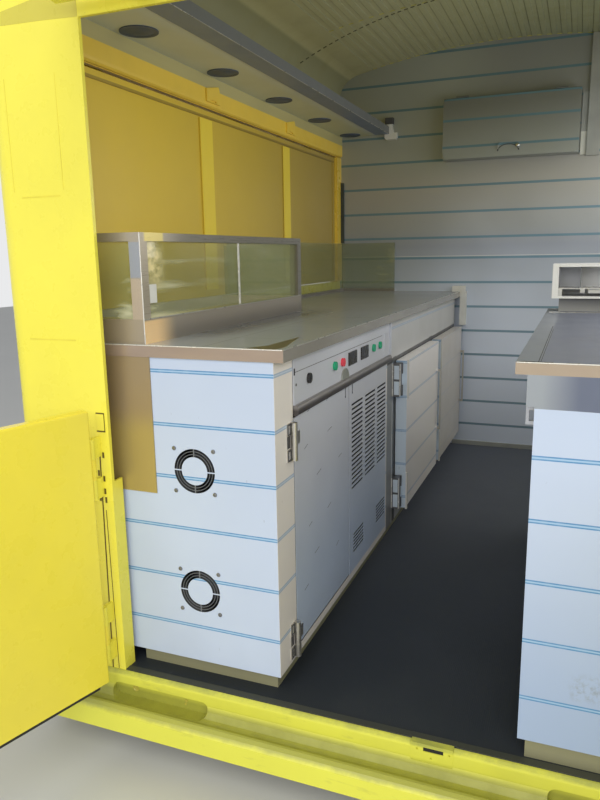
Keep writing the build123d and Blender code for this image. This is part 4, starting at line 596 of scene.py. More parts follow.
def right_sheet(name):
    """Right counter: bare satin strip under the worktop, film below it with a torn upper edge, and painted shade
    making the film darker and bluer towards the floor.
    """
    s = sheet_settings()
    f = Finish(name)
    z = f.part("Z")
    # painted shade: the film darker and bluer towards the floor
    low = f.step(z, 0.80, 0.28)
    shade = f.mix(low, film_shade(f, s.film), (0.365, 0.46, 0.66))
    film = print_pairs(f, shade, PAIR_RIGHT)
    smudge = f.times(f.band("X", 0.42, 0.475, 0.012), f.band("Z", 0.38, 0.43, 0.012),
                     f.spots(0.45, 0.62, 70.0, 4, rough=0.7))
    film = f.tint(film, (0.25, 0.26, 0.28), smudge, 0.5)
    bare = f.ramp(f.part("X"), ((0.335, (0.33, 0.355, 0.39)), (0.40, (0.15, 0.17, 0.235)),
                                (0.62, (0.13, 0.15, 0.215))))
    torn = f.maths("ADD", z, f.times(f.noise(9.0, 3), 0.006))
    above = f.step(torn, *TORN_Z)
    base = f.mix(above, film, bare)
    inner = f.times(f.rise("Y", RIGHT_Y + 0.001, RIGHT_Y + 0.0016), f.rise("X", 0.3222, 0.3236))
    base = f.mix(inner, base, (0.34, 0.35, 0.36))
    f.metal(f.times(above, 0.35))
    return f.finish(base, f.sheen(11.0, 0.28, 0.42), film_waves(f))


def lining_light_by_height(f, height):
    """Lining's film colour from the floor up, with painted light and shade: lighter and bluer low down, darker
    towards the roof.
    """
    return f.ramp(height, ((0.33, (0.76, 0.83, 0.97)), (0.53, sheet_settings().lining),
                           (0.58, (0.335, 0.365, 0.435)), (0.62, (0.37, 0.39, 0.405)),
                           (0.72, (0.435, 0.43, 0.41)), (0.955, (0.31, 0.325, 0.325))))


def wall_marks(f, base, z):
    """Painted light on the left part near the roof, a bright joint line and the shadow beside the far cold door.
    """
    # painted light: a paler left part near the roof
    left = f.times(f.rise("X", 0.05, -0.35), f.step(z, 1.55, 1.75))
    base = f.mix(left, base, (0.41, 0.435, 0.41))
    base = f.tint(base, (0.75, 0.75, 0.70), f.band("Z", *LINING_JOINT), 0.6)
    shadow = f.times(f.band("X", -0.286, -0.258, 0.004), f.step(z, 0.87, 0.86))
    return f.tint(base, (0.03, 0.035, 0.04), shadow, 0.85)


def banded_lining(name, cupboard=False):
    """Filmed steel lining: single blue bands, at one pitch below the joint line and another above, over painted
    light and shade that change with height.
    """
    s = sheet_settings()
    f = Finish(name, Metallic=0.45)
    z = f.part("Z")
    half = s.band_width / 2
    height = f.times(z, 1.0 / LINING_TOP_Z)
    # painted light and shade by height: the cupboard darkens towards the roof; the lining is lighter and bluer low
    # down, darker up high
    if cupboard:
        tone = f.ramp(height, ((0.77, (0.37, 0.395, 0.385)), (0.885, (0.215, 0.225, 0.215))))
    else:
        tone = lining_light_by_height(f, height)
    base = f.mix(1.0, tone, f.drift(0.92, 1.0, 0.9, 3, stretch=(1, 1, 0.6)), "MULTIPLY")
    if cupboard:
        band = f.either(*(f.band("Z", FLOOR_Z + h - half, FLOOR_Z + h + half, FRINGE) for h in CUPBOARD_BANDS))
    else:
        low = f.times(f.step(off_pair(f, z, *LOW_BANDS), half + FRINGE, half),
                      f.step(z, FLOOR_Z + 1.02, FLOOR_Z + 1.018))
        high = f.times(f.step(off_pair(f, z, *HIGH_BANDS), half + FRINGE, half),
                       f.step(z, FLOOR_Z + 1.06, FLOOR_Z + 1.062))
        band = f.either(low, high)
        base = wall_marks(f, base, z)
    base = f.tint(base, s.band, band, 0.85)
    normal = f.dents(0.16, 0.008, 1.8, 2, stretch=(1, 1, 0.4))
    return f.finish(base, f.sheen(5.0, 0.36, 0.46), normal)


def brushed(name, shade, along, rough=0.30, metal=1.0, smudge=0.5):
    """Brushed sheet with its grain along one axis, smears and fine scratches."""
    s = sheet_settings()
    f = Finish(name, Metallic=metal)
    stretch = [1.0, 1.0, 1.0]
    stretch["XYZ".index(along)] = 0.012
    grain = f.noise(1.0 / s.grain, 3, stretch=stretch, rough=0.7)
    drift = f.drift(toned(shade, 0.88), toned(shade, 1.06), 1.9, 3, top=0.72)
    base = f.tint(drift, toned(shade, 0.72), grain, 0.20)
    smear = f.spots(0.48, 0.85, 5.0, 4, rough=0.6)
    base = f.tint(base, toned(shade, 0.6), smear, 0.22 * smudge)
    tone = f.maths("ADD", f.times(grain, 0.14), f.times(smear, 0.16 * smudge))
    normal = f.bump(grain, 0.05, 0.0006)
    normal = f.dents(0.12, 0.004, 3.0, 2, under=normal)
    return f.finish(base, f.maths("ADD", tone, rough - 0.08), normal)


def riser_sheet(name):
    """Riser under the glass: brushed, with a warm reflection at the near end of its front."""
    f = Finish(name, Metallic=0.40)
    x, y = f.part("X"), f.part("Y")
    front = f.step(x, RISER_X - 0.0001, RISER_X + 0.0003)
    face = f.mix(f.rise("Z", 1.047, 1.098), (0.20, 0.18, 0.155), (0.34, 0.30, 0.25))
    warm = f.times(front, f.step(y, -0.960, -1.065), f.rise("Z", 1.100, 1.094))
    near = f.step(y, *RISER_END)
    base = f.mix(front, (0.66, 0.62, 0.56), face)
    base = f.mix(near, base, (0.42, 0.35, 0.255))
    base = f.mix(f.times(near, f.step(x, -0.79, -0.83)), base, (0.50, 0.39, 0.10))
    base = f.mix(warm, base, (1.0, 0.69, 0.36))
    grain = f.noise(800.0, 3, stretch=(1, 0.012, 1), rough=0.7)
    base = f.tint(base, (0.16, 0.14, 0.11), grain, 0.14)
    return f.finish(base, f.maths("MULTIPLY_ADD", grain, 0.14, 0.24), f.dents(0.10, 0.004, 3.0, 2))


def guard_sheet(name):
    """Guard's posts and rails: beige steel, greyish film on the near post's upper half, gold glint on top."""
    f = Finish(name, Metallic=0.40)
    y, z = f.part("Y"), f.part("Z")
    base = f.mix(f.step(y, -1.06, -0.88), (0.42, 0.37, 0.30), (0.185, 0.17, 0.14))
    base = f.mix(f.step(y, -0.5, 0.1), base, (0.24, 0.225, 0.20))
    near = f.times(f.step(y, *GUARD_END), f.step(z, GUARD_TOP_Z, GUARD_TOP_Z - 0.002))
    blue = f.times(near, f.step(z, GUARD_FILM_Z, GUARD_FILM_Z + 0.003))
    base = f.mix(blue, base, (0.36, 0.38, 0.42))
    warm = f.times(near, f.step(z, GUARD_FILM_Z, GUARD_FILM_Z - 0.003))
    base = f.tint(base, (0.56, 0.45, 0.33), warm, 0.8)
    gold = f.times(f.band("Y", -1.09, -1.01, 0.006), f.step(z, GUARD_TOP_Z, GUARD_TOP_Z + 0.002))
    base = f.tint(base, (0.80, 0.66, 0.20), gold, 0.8)
    grain = f.noise(800.0, 3, stretch=(1, 0.012, 1), rough=0.7)
    base = f.tint(base, (0.16, 0.14, 0.11), grain, 0.12)
    return f.finish(base, f.maths("MULTIPLY_ADD", grain, 0.14, 0.22), f.dents(0.10, 0.004, 3.0, 2))


def pull_sheet(name):
    """Folded pull: dark below, greyer above, with a pale streak along its upper lip."""
    f = Finish(name, Metallic=0.35)
    z = f.part("Z")
    base = f.mix(f.step(z, 0.882, 0.892), (0.075, 0.065, 0.065), (0.24, 0.225, 0.225))
    base = f.mix(f.step(z, 0.8975, 0.8985), base, (0.33, 0.34, 0.30))
    soft = f.drift(0.8, 1.0, 14.0, 3)
    base = f.mix(f.maths("SUBTRACT", 1.0, soft), base, (0.03, 0.03, 0.03))
    return f.finish(base, 0.34, f.dents(0.05, 0.001, 30.0, 2))


def box_sheet(name):
    """Steel box on the right counter: nearly white front frame, painted shade on its set-back foot, pale inside,
    grey side.
    """
    f = Finish(name)
    y, z = f.part("Y"), f.part("Z")
    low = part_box("right_box")[0]
    inside = f.drift((0.86, 0.87, 0.90), (0.93, 0.94, 0.97), 3.0, 3)
    outside = f.step(y, low.y + 0.0022, low.y + 0.0016)
    base = f.mix(outside, inside, (0.98, 0.98, 0.97))
    side = f.rise("X", low.x + 0.002, low.x + 0.001)
    base = f.mix(side, base, (0.62, 0.63, 0.64))
    # painted shade on the set-back foot, darkest at its top under the box
    foot = f.step(z, BOX_FOOT_Z + 0.0005, BOX_FOOT_Z - 0.0005)
    shade = f.ramp(f.times(f.maths("SUBTRACT", z, low.z), 1.0 / BOX_FOOT_H), ((0.0, 0.40), (1.0, 0.14)))
    base = f.mix(foot, base, shade)
    return f.finish(base, f.sheen(9.0, 0.30, 0.42, 3), f.dents(0.10, 0.003, 4.0, 2))


def moulded(name, shade, rough=0.45, pores=240.0, strength=0.12, metal=0.0):
    """Plain moulded, rubber or plated surface with fine texture and dust."""
    f = Finish(name, Metallic=metal)
    drift = f.drift(toned(shade, 0.84), toned(shade, 1.10), 9.0, 4, top=0.75)
    dust = f.spots(0.55, 0.85, 35.0, 4, rough=0.7)
    base = f.tint(drift, (0.35, 0.34, 0.30), dust, 0.06)
    normal = f.dents(strength, 0.0006, pores, 2)
    return f.finish(base, f.sheen(26.0, rough - 0.06, rough + 0.10, 3), normal)


def rubber_mat(name):
    """Dark floor rubber with fine ribs along the vehicle, dust and shoe marks, and painted light making it lighter
    and bluer towards the bulkhead.
    """
    shade = fitting_settings().mat
    f = Finish(name, Specular_IOR_Level=0.25)
    drift = f.drift(toned(shade, 0.85), toned(shade, 1.2), 1.6, 4, top=0.72)
    dust = f.spots(0.50, 0.86, 3.0, 5, rough=0.6)
    base = f.tint(drift, (0.11, 0.115, 0.12), dust, 0.10)
    # painted light: the mat lighter and bluer towards the bulkhead
    back = f.rise("Y", -1.1, 0.6)
    base = f.tint(base, (0.130, 0.145, 0.185), back, 0.80)
    marks = f.spots(0.72, 0.76, 16.0, 3, stretch=(1, 0.35, 1))
    base = f.tint(base, (0.16, 0.16, 0.16), marks, 0.12)
    ribs = f.maths("SINE", f.times(f.part("X"), 2 * math.pi / MAT_RIB))
    normal = f.bump(ribs, 0.18, 0.0006)
    normal = f.dents(0.12, 0.0012, 40.0, 3, under=normal)
    return f.finish(base, f.ramp(dust, ((0.0, 0.62), (1.0, 0.78))), normal)


def pane(name):
    """Thin float glass: clear, slightly green, with smears and level streaks of light."""
    shade = fitting_settings().glass
    f = Finish(name, IOR=1.5, Specular_IOR_Level=0.6)
    smear = f.spots(0.45, 0.85, 6.0, 4, rough=0.6)
    streak = f.spots(0.56, 0.72, 6.0, 3, stretch=(1, 0.35, 4))
    near = f.rise("Y", -0.70, -1.05)
    light = f.times(streak, f.maths("MULTIPLY_ADD", near, 0.6, 0.25))
    base = f.tint(shade, (0.50, 0.52, 0.40), smear, 0.30)
    base = f.mix(light, base, (0.85, 0.82, 0.58))
    glare = f.times(f.band("Y", -1.080, -1.010, 0.025), f.band("Z", 1.185, 1.285, 0.03),
                    f.ramp(f.noise(24.0, 3, stretch=(1, 1, 1.6)), ((0.36, 0.25), (0.58, 1.0))))
    base = f.mix(glare, base, (1.0, 0.88, 0.50))
    light = f.either(light, glare)
    f.fill(f.shader.inputs["Alpha"], f.maths("MULTIPLY_ADD", light, 0.55, 0.29))
    f.material.surface_render_method = "BLENDED"
    return f.finish(base, f.ramp(smear, ((0.0, 0.03), (1.0, 0.12))))


def cover(mesh, material):
    """Give a mesh its finished material, or the plain one of that name."""
    mesh.materials.clear()
    mesh.materials.append(plain(material) if isinstance(material, str) else material)


def dress(node, material):
    """Cover a carried-over CAD node."""
    cover(NODES[node].data, material)


# Mesh helpers

def add_block(bm, x, y, z, rounding=0.0, segments=2):
    """A box from three (low, high) pairs in metres, with rounded edges."""
    centre = Vector(((x[0] + x[1]) / 2, (y[0] + y[1]) / 2, (z[0] + z[1]) / 2))
    size = Vector((x[1] - x[0], y[1] - y[0], z[1] - z[0]))
    made = bmesh.ops.create_cube(bm, size=1.0, matrix=Matrix.Translation(centre) @ Matrix.Diagonal((*size, 1.0)))
    if rounding > 0:
        edges = {e for v in made["verts"] for e in v.link_edges}
        offset = min(rounding, min(size) * 0.49)
        bmesh.ops.bevel(bm, geom=list(edges), offset=offset, segments=segments, affect="EDGES", profile=0.5)
    return bm


def add_plate(bm, corners, lift):
    """A thin closed plate: a loop of corners in metres, thickened by the vector lift."""
    lift = Vector(lift)
    low = [bm.verts.new(Vector(c)) for c in corners]
    high = [bm.verts.new(Vector(c) + lift) for c in corners]
    bm.faces.new(low)
    bm.faces.new(high[::-1])
    for i in range(len(low)):
        j = (i + 1) % len(low)
        bm.faces.new((low[i], high[i], high[j], low[j]))
    return bm


def in_mm(*pairs):
    return [tuple(v * MM for v in pair) for pair in pairs]


def mm_block(bm, x, y, z, rounding=0.0):
    """add_block with its pairs in millimetres."""
    return add_block(bm, *in_mm(x, y, z), rounding * MM)


TURNS = {"X": Matrix.Rotation(math.pi / 2, 4, "Y"), "Y": Matrix.Rotation(-math.pi / 2, 4, "X"),
         "Z": Matrix.Identity(4), "-Y": Matrix.Rotation(math.pi / 2, 4, "X")}


def add_turned(bm, place, axis, profile, steps=28):
    """A turned form: profile is (radius, height) pairs along the axis from place."""
    turn = Matrix.Translation(Vector(place)) @ TURNS[axis]
    rings = []
    for radius, height in profile:
        if radius < 1e-7:
            rings.append([bm.verts.new(turn @ Vector((0, 0, height)))])
            continue
        ring = []
        for i in range(steps):
            angle = 2 * math.pi * i / steps
            ring.append(bm.verts.new(turn @ Vector((radius * math.cos(angle), radius * math.sin(angle), height))))
        rings.append(ring)
    for low, high in zip(rings, rings[1:]):
        for i in range(steps):
            j = (i + 1) % steps
            corners = [low[i % len(low)], low[j % len(low)], high[j % len(high)], high[i % len(high)]]
            unique = list(dict.fromkeys(corners))
            if len(unique) > 2:
                bm.faces.new(unique)
    return bm


def rod_profile(radius, long):
    """Profile of a plain rod with softened ends, in metres."""
    soft = radius * 0.3
    return ((0.0, 0.0), (radius - soft, 0.0), (radius, soft), (radius, long - soft), (radius - soft, long),
            (0.0, long))


def piece(name, bm, material, smooth=False, body=SHELL):
    """Turn a bmesh into a named piece that rides on a body and takes its finish from a slot."""
    bmesh.ops.recalc_face_normals(bm, faces=bm.faces)
    mesh = bpy.data.meshes.new(name)
    bm.to_mesh(mesh)
    bm.free()
    cover(mesh, material)
    if smooth:
        mesh.shade_smooth()
        mesh.set_sharp_from_angle(angle=math.radians(38))
    made = bpy.data.objects.new(name, mesh)
    bpy.context.scene.collection.objects.link(made)
    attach(made, body)
    return made


def blocks(name, rows, material, rounding=0.3, body=SHELL):
    """One piece from rows of three (low, high) pairs in millimetres."""
    bm = bmesh.new()
    for x, y, z in rows:
        mm_block(bm, x, y, z, rounding)
    return piece(name, bm, material, body=body)


FINISHES = {}


def finish_of(name, maker, *values, **named):
    """One shared material by name, made when it is first asked for."""
    if name not in FINISHES:
        FINISHES[name] = maker(name, *values, **named)
    return FINISHES[name]


# Plain finishes: colour, roughness, and for a few their metal share and texture
PLAIN = {
    "polished_fold": dict(shade=(0.78, 0.76, 0.72), rough=0.25, metal=0.3, strength=0.03),
    "dark_gap": dict(shade=(0.012, 0.012, 0.012), rough=0.7),
    "blue_white_film": dict(shade=(0.62, 0.70, 0.80), rough=0.35, strength=0.05),
    "black_moulding": dict(shade=(0.016, 0.016, 0.018), rough=0.42),
    "white_moulding": dict(shade=(0.72, 0.72, 0.70), rough=0.38),
    "inset_shadow": dict(shade=(0.07, 0.07, 0.075), rough=0.5),
    "thin_shadow_line": dict(shade=(0.10, 0.10, 0.10), rough=0.6),
    # painted shadow in gaps and painted shade along creases, for the next two rows
    "paint_gap": dict(shade=(0.11, 0.075, 0.008), rough=0.6),
    "paint_crease": dict(shade=(0.79, 0.68, 0.06), rough=0.5),
    "film_scratch": dict(shade=(0.11, 0.115, 0.13), rough=0.5),
    "box_inset": dict(shade=(0.26, 0.27, 0.28), rough=0.4),
    "box_back": dict(shade=(0.74, 0.75, 0.78), rough=0.4),
    # painted shade in a groove
    "rail_groove": dict(shade=(0.20, 0.135, 0.03), rough=0.6),
    "pale_trim_end": dict(shade=(0.62, 0.62, 0.56), rough=0.4),
    "dark_caps": dict(shade=(0.026, 0.023, 0.024), rough=0.25),
    "dull_lamp_rings": dict(shade=(0.062, 0.092, 0.165), rough=0.5),
    "grey_trim": dict(shade=(0.34, 0.35, 0.33), rough=0.42),
    "green_grey_seal": dict(shade=(0.05, 0.06, 0.055), rough=0.6),
    "dull_lenses": dict(shade=(0.068, 0.10, 0.185), rough=0.5),
    "roof_stitches": dict(shade=(0.10, 0.095, 0.05), rough=0.6),
    "dull_screws": dict(shade=(0.30, 0.30, 0.31), rough=0.3, metal=0.8, strength=0.03),
    "dull_fold": dict(shade=(0.42, 0.42, 0.40), rough=0.3, metal=0.4, strength=0.03),
}


def plain(name):
    """Finish of one row of the table."""
    return finish_of(name, moulded, **PLAIN[name])


def yellow():
    return finish_of("brushed_on_yellow", painted, paint_settings().yellow)


def warm_inside_yellow():
    # the shell's paint inside, its warmer colour painted light
    return finish_of("older_yellow", painted, paint_settings().warm_inside_yellow, dirt=0.8, gloss=0.30)


def black_rubber():
    return finish_of("black_rubber_strip", moulded, fitting_settings().rubber, rough=0.62)


def chrome():
    return finish_of("plated_fittings", moulded, fitting_settings().chrome, rough=0.18, metal=1.0,
                     strength=0.03)


def satin_sheet():
    return finish_of("satin_sheet", brushed, sheet_settings().door_steel, "Y", rough=0.38, metal=0.2, smudge=0.3)


# Operators

class BODY_OT_stage(bpy.types.Operator):
    """Plain pale floor, soft lamps and the camera at the photograph's angle"""
    bl_idname = "service_body.stage"
    bl_label = "Stage"

    def execute(self, context):
        s = stage_settings()
        scene = context.scene
        scene.view_settings.view_transform = "Standard"
        self.make_camera(scene)
        self.make_floor(s)
        self.make_world(scene, s)
        self.lamp("key_lamp", (-0.6, -6.5, 4.5), (0.0, -0.6, 0.9), (6.0, 6.0), s.key_power)
        self.lamp("fill_lamp", (3.2, -5.0, 2.4), (-0.2, 0.0, 0.8), (3.0, 3.0), s.fill_power)
        self.lamp("room_lamp", (0.80, 0.15, 1.55), (-0.6, 0.15, 1.25), (2.0, 0.7), s.room_power)
        return {"FINISHED"}

    def make_camera(self, scene):
        data = bpy.data.cameras.new("photo_camera")
        data.sensor_fit = "AUTO"
        data.sensor_width = 36.0
        data.lens = CAMERA_LENS
        data.clip_start = 0.02
        data.clip_end = 60.0
        made = bpy.data.objects.new("photo_camera", data)
        turn = Matrix((Vector(CAMERA_RIGHT), -Vector(CAMERA_DOWN), -Vector(CAMERA_AHEAD))).transposed()
        made.matrix_world = Matrix.Translation(CAMERA_PLACE) @ turn.to_4x4()
        scene.collection.objects.link(made)
        scene.camera = made

    def make_floor(self, s):
        f = Finish("pale_floor", Specular_IOR_Level=0.3)
        shade = s.ground
        base = f.drift(toned(shade, 0.97), shade, 1.2, 3)
        material = f.finish(base, 0.75, f.dents(0.08, 0.001, 60.0, 3))
        bm = bmesh.new()
        bmesh.ops.create_grid(bm, x_segments=1, y_segments=1, size=14.0)
        mesh = bpy.data.meshes.new("pale_floor")
        bm.to_mesh(mesh)
        bm.free()
        mesh.materials.append(material)
        made = bpy.data.objects.new("pale_floor", mesh)
        bpy.context.scene.collection.objects.link(made)

    def make_world(self, scene, s):
        """Even light from all round; rays that are seen show the plain backdrop instead."""
        world = bpy.data.worlds.new("soft_surroundings")
        scene.world = world
        world.use_nodes = True
        tree = world.node_tree
        tree.nodes.clear()
        rays = tree.nodes.new("ShaderNodeLightPath")
        shown = rays.outputs["Is Camera Ray"]
        for kind in ("Is Glossy Ray", "Is Transmission Ray"):
            either = tree.nodes.new("ShaderNodeMath")
            either.operation = "MAXIMUM"
            tree.links.new(shown, either.inputs[0])
            tree.links.new(rays.outputs[kind], either.inputs[1])
            shown = either.outputs[0]
        mix = tree.nodes.new("ShaderNodeMixShader")
        tree.links.new(shown, mix.inputs[0])
        light = ((0.95, 0.98, 1.0), s.sky)
        for place, (shade, strength) in enumerate((light, (s.backdrop, 1.0)), 1):
            back = tree.nodes.new("ShaderNodeBackground")
            back.inputs["Color"].default_value = (*shade, 1.0)
            back.inputs["Strength"].default_value = strength
            tree.links.new(back.outputs[0], mix.inputs[place])
        out = tree.nodes.new("ShaderNodeOutputWorld")
        tree.links.new(mix.outputs[0], out.inputs[0])

    def lamp(self, name, place, target, size, power):
        data = bpy.data.lights.new(name, "AREA")
        data.shape = "RECTANGLE"
        data.size, data.size_y = size
        data.energy = power
        made = bpy.data.objects.new(name, data)
        aim = Vector(target) - Vector(place)
        made.matrix_world = Matrix.Translation(place) @ aim.to_track_quat("-Z", "Y").to_matrix().to_4x4()
        made.visible_camera = False
        bpy.context.scene.collection.objects.link(made)


class BODY_OT_shell(bpy.types.Operator):
    """Yellow shell, roof, hatch, doors and step"""
    bl_idname = "service_body.shell"
    bl_label = "Shell and doors"

    def execute(self, context):
        p = paint_settings()
        dress("rear_step", self.step_paint(p))
        # painted light: the open door's warmer copy of the shell's yellow, for the shade it stands in
        dress("rear_door_left", finish_of("warm_door_yellow", painted, (0.95, 0.80, 0.072)))
        for node in ("rear_post_left", "rear_post_right", "rear_header", "rear_door_right",
                     "rear_flap", "wheel_boxes", "rockers", "bulkhead", "side_wall_left",
                     "side_wall_right"):
            dress(node, yellow())
        dress("side_hatch", self.hatch_paint(p))
        dress("hatch_rail", warm_inside_yellow())
        for node in ("hatch_pillars", "cantrail_left"):
            dress(node, finish_of("wall_yellow", wall_paint_out_and_in))
        dress("roof", self.roof_paint(p))
        for node in ("rear_door_seal_left", "rear_door_seal_right"):
            dress(node, black_rubber())
        under = finish_of("underbody_paint", painted, p.underbody, dirt=0.6, gloss=0.55)
        for node in ("frame_rails", "cross_members", "floor_pan"):
            dress(node, under)
        return {"FINISHED"}

    def hatch_paint(self, p):
        """Hatch's inside yellow, warmed as painted light, with painted shade darkening it towards the bulkhead, a
        painted highlight on its ribs and a painted shadow under the rail.
        """
        f = Finish("hatch_yellow")
        shade = p.warm_inside_yellow
        # painted shade: darker towards the bulkhead, away from the doorway
        far = f.rise("Y", -0.95, 1.10)
        base = f.mix(far, (shade[0] * 0.92, shade[1] * 0.94, shade[2] * 0.70),
                     (shade[0] * 0.49, shade[1] * 0.50, shade[2] * 0.75))
        x = f.part("X")
        # painted highlight on the faces of the hatch's ribs
        rib = f.times(f.step(x, *HATCH_RIB_X), f.band("Z", 1.10, 1.74))
        base = f.tint(base, (1.0, shade[1] * 1.18, shade[2] * 0.8), rib, 0.90)
        # painted shadow: a dark band under the rail's rim
        fold = f.times(f.band("Z", 1.7185, 1.7275, 0.001), f.step(x, -0.8760, -0.8750))
        base = f.tint(base, (0.20, 0.135, 0.03), fold, 0.65)
        base = f.mix(f.step(x, *OUTER_SKIN), p.yellow, base)
        patch = f.spots(0.40, 0.80, 2.2, 4, rough=0.55)
        base = f.tint(base, (shade[0] * 0.45, shade[1] * 0.47, shade[2]), patch, 0.16)
        normal = f.dents(0.30, 0.006, 3.0, 2)
        normal = f.dents(0.10, 0.001, 60.0, 3, under=normal)
        return f.finish(base, f.ramp(patch, ((0.0, 0.30), (1.0, 0.46))), normal)

    def step_paint(self, p):
        """Step's yellow: trodden and olive along the top of its lip, with painted shade in the trough."""
        f = Finish("trodden_yellow")
        shade = (p.yellow[0] * 0.86, p.yellow[1] * 0.94, p.yellow[2])
        drift = f.drift(toned(shade, 0.90), shade, 2.0, 4, top=0.72)
        z, y = f.part("Z"), f.part("Y")
        lip = f.step(z, 0.203, 0.213)
        inner = f.step(y, RIDGE_Y - 0.001, RIDGE_Y + 0.001)
        # painted shade: dark olive in the trough
        trough = f.times(f.step(z, 0.183, 0.164), inner)
        ragged = f.maths("MULTIPLY_ADD", f.noise(22.0, 4, rough=0.65), 0.012, -0.006)
        ridge = f.times(f.step(f.maths("ADD", z, ragged), 0.148, 0.158), f.maths("SUBTRACT", 1.0, inner))
        face = f.times(f.band("Z", 0.150, 0.204, 0.004), f.step(y, -1.195, -1.185))
        worn = f.ramp(f.noise(13.0, 5, rough=0.7), ((0.38, 0.35), (0.66, 1.0)))
        base = f.mix(f.times(lip, worn, 0.75), drift, (0.26, 0.28, 0.085))
        base = f.mix(f.times(trough, f.ramp(worn, ((0.0, 0.80), (1.0, 1.0))), 0.82), base, (0.185, 0.187, 0.034))
        base = f.tint(base, (0.33, 0.335, 0.085), ridge, 0.80)
        rubbed = f.ramp(f.noise(5.0, 4), ((0.4, 0.1), (0.75, 0.8)))
        base = f.mix(f.times(face, rubbed, 0.5), base, (0.42, 0.41, 0.07))
        scuffs = f.spots(0.60, 0.70, 30.0, 4, stretch=(0.25, 1, 1), rough=0.7)
        base = f.tint(base, (0.24, 0.24, 0.08), scuffs, 0.22)
        specks = f.spots(0.72, 0.76, 180.0, 2, rough=0.7)
        base = f.mix(f.times(specks, lip, 0.7), base, (0.06, 0.06, 0.04))
        normal = f.dents(0.25, 0.002, 26.0, 4, rough=0.6)
        return f.finish(base, f.ramp(worn, ((0.0, 0.28), (1.0, 0.50))), normal)

    def roof_paint(self, p):
        """Roof: yellow as the shell outside, a dark olive on its underside that is partly painted shade, with more
        painted shade where its faces turn steeply sideways.
        """
        f = Finish("roof_paint")
        up = f.add("ShaderNodeSeparateXYZ")
        f.wire(f.add("ShaderNodeNewGeometry").outputs["Normal"], up.inputs[0])
        outside = f.step(up.outputs["Z"], -0.05, 0.05)
        # the underside's dark olive is partly painted shade
        worn = f.drift(toned(p.roof, 0.85), p.roof, 2.4, 4)
        worn = f.mix(f.rise("X", 0.35, -0.65), worn, (0.47, 0.455, 0.26))
        # painted shade on faces that turn steeply sideways
        steep = f.step(f.maths("ABSOLUTE", up.outputs["X"]), 0.50, 0.62)
        worn = f.tint(worn, toned(p.roof, 0.45), steep, 0.55)
        fresh = f.drift(toned(p.yellow, 0.90), p.yellow, 1.7, 3, top=0.72)
        stains = f.spots(0.50, 0.82, 7.0, 5, rough=0.65)
        base = f.mix(outside, worn, fresh)
        base = f.tint(base, p.grime, stains, 0.22)
        normal = f.dents(0.2, 0.0015, 28.0, 4, rough=0.6)
        return f.finish(base, f.ramp(stains, ((0.0, 0.42), (1.0, 0.62))), normal)


class BODY_OT_rear(bpy.types.Operator):
    """Threshold strip, marks of the step and the lines and plates of the left post"""
    bl_idname = "service_body.rear"
    bl_label = "Rear details"

    def execute(self, context):
        strip = finish_of("threshold_strip", brushed, (0.066, 0.070, 0.058), "X", rough=0.5, metal=0.3)
        blocks("threshold_strip", [((-866, 104), (-1169, -1150), (STRIP_Z, STRIP_Z + 2.0)),
                                   ((202, 866), (-1169, -1150), (STRIP_Z, STRIP_Z + 2.0)),
                                   ((103, 203), (-1167, -1150), (216.2, 217.4))], strip)
        blocks("catch_slot_shade", [((135.4, 177.6), (-1181.4, -1178), (199.4, 208.6))],
               "dark_gap", 0)
        bm = bmesh.new()
        for x, z, radius in ((-601, 171, 8.5), (-454, 171, 4.0), (-456, 162, 3.0)):
            add_turned(bm, (x * MM, -1.1721, z * MM), "-Y",
                       ((0.0, -0.002), (radius * MM, -0.002), (radius * MM, 0.0012), (radius * 0.72 * MM, 0.0012),
                        (radius * 0.62 * MM, 0.0002), (0.0, 0.0002)), 20)
        piece("pocket_buttons", bm, finish_of("olive_buttons", painted, (0.50, 0.44, 0.07)),
              smooth=True)
        self.post_lines()
        return {"FINISHED"}

    def post_lines(self):
        """Painted shadow lines in the gap and fold beside the left door's hinge, and painted shade along the
        shallow creases of the left post.
        """
        # painted shadow: dark lines in the gap and fold beside the left door's hinge, and dark dashes on the post
        bm = bmesh.new()
        for top, foot, width in (((-660.5, 813), (-670.2, 201), 3.4), ((-653.7, 642), (-650.9, 216), 1.6)):
            corners = [(top[0], top[1]), (top[0] + width, top[1]), (foot[0] + width, foot[1]), (foot[0], foot[1])]
            add_plate(bm, [(x * MM, (POST_Y - 0.1) * MM, z * MM) for x, z in corners], (0, -0.0006, 0))
        for x, z in ((-668, 782), (-652, 781), (-654, 722), (-668.5, 735), (-653, 668), (-669, 671), (-654, 690)):
            mm_block(bm, (x, x + 5), (POST_Y - 0.9, POST_Y), (z - 7, z + 7))
        piece("post_gap_shadow_lines", bm, "paint_gap")
        # painted shade along the post's shallow creases
        blocks("post_crease_shading", [((-823, -714), ON_POST, (1381, 1384)),
                                ((-838, -702), ON_POST, (1054, 1057)),
                                ((-704, -702.6), (POST_Y - 0.4, POST_Y + 0.2), (1395, 1640)),
                                ((-845, -843.6), (POST_Y - 0.4, POST_Y + 0.2), (1395, 1640))],
               "paint_crease", 0)
        shade = finish_of("header_shadow", painted, (0.64, 0.56, 0.068))
        rim = ((-840, 1749.6), (-728, 1746.8), (-631, 1742.6), (-631, 1792), (-740, 1792), (-840, 1777))
        bm = add_plate(bmesh.new(), [(x * MM, (POST_Y - 0.1) * MM, z * MM) for x, z in rim], (0, -0.0004, 0))
        piece("header_shade", bm, shade)
        blocks("post_hinge_plate", [((-661, -640), (POST_Y - 3.5, POST_Y + 0.2), (842, 882))],
               yellow(), 1.2)
        blocks("post_plate_shade", [((-662.5, -638.5), (POST_Y - 0.6, POST_Y + 0.2), (838, 885))],
               "paint_gap", 0)


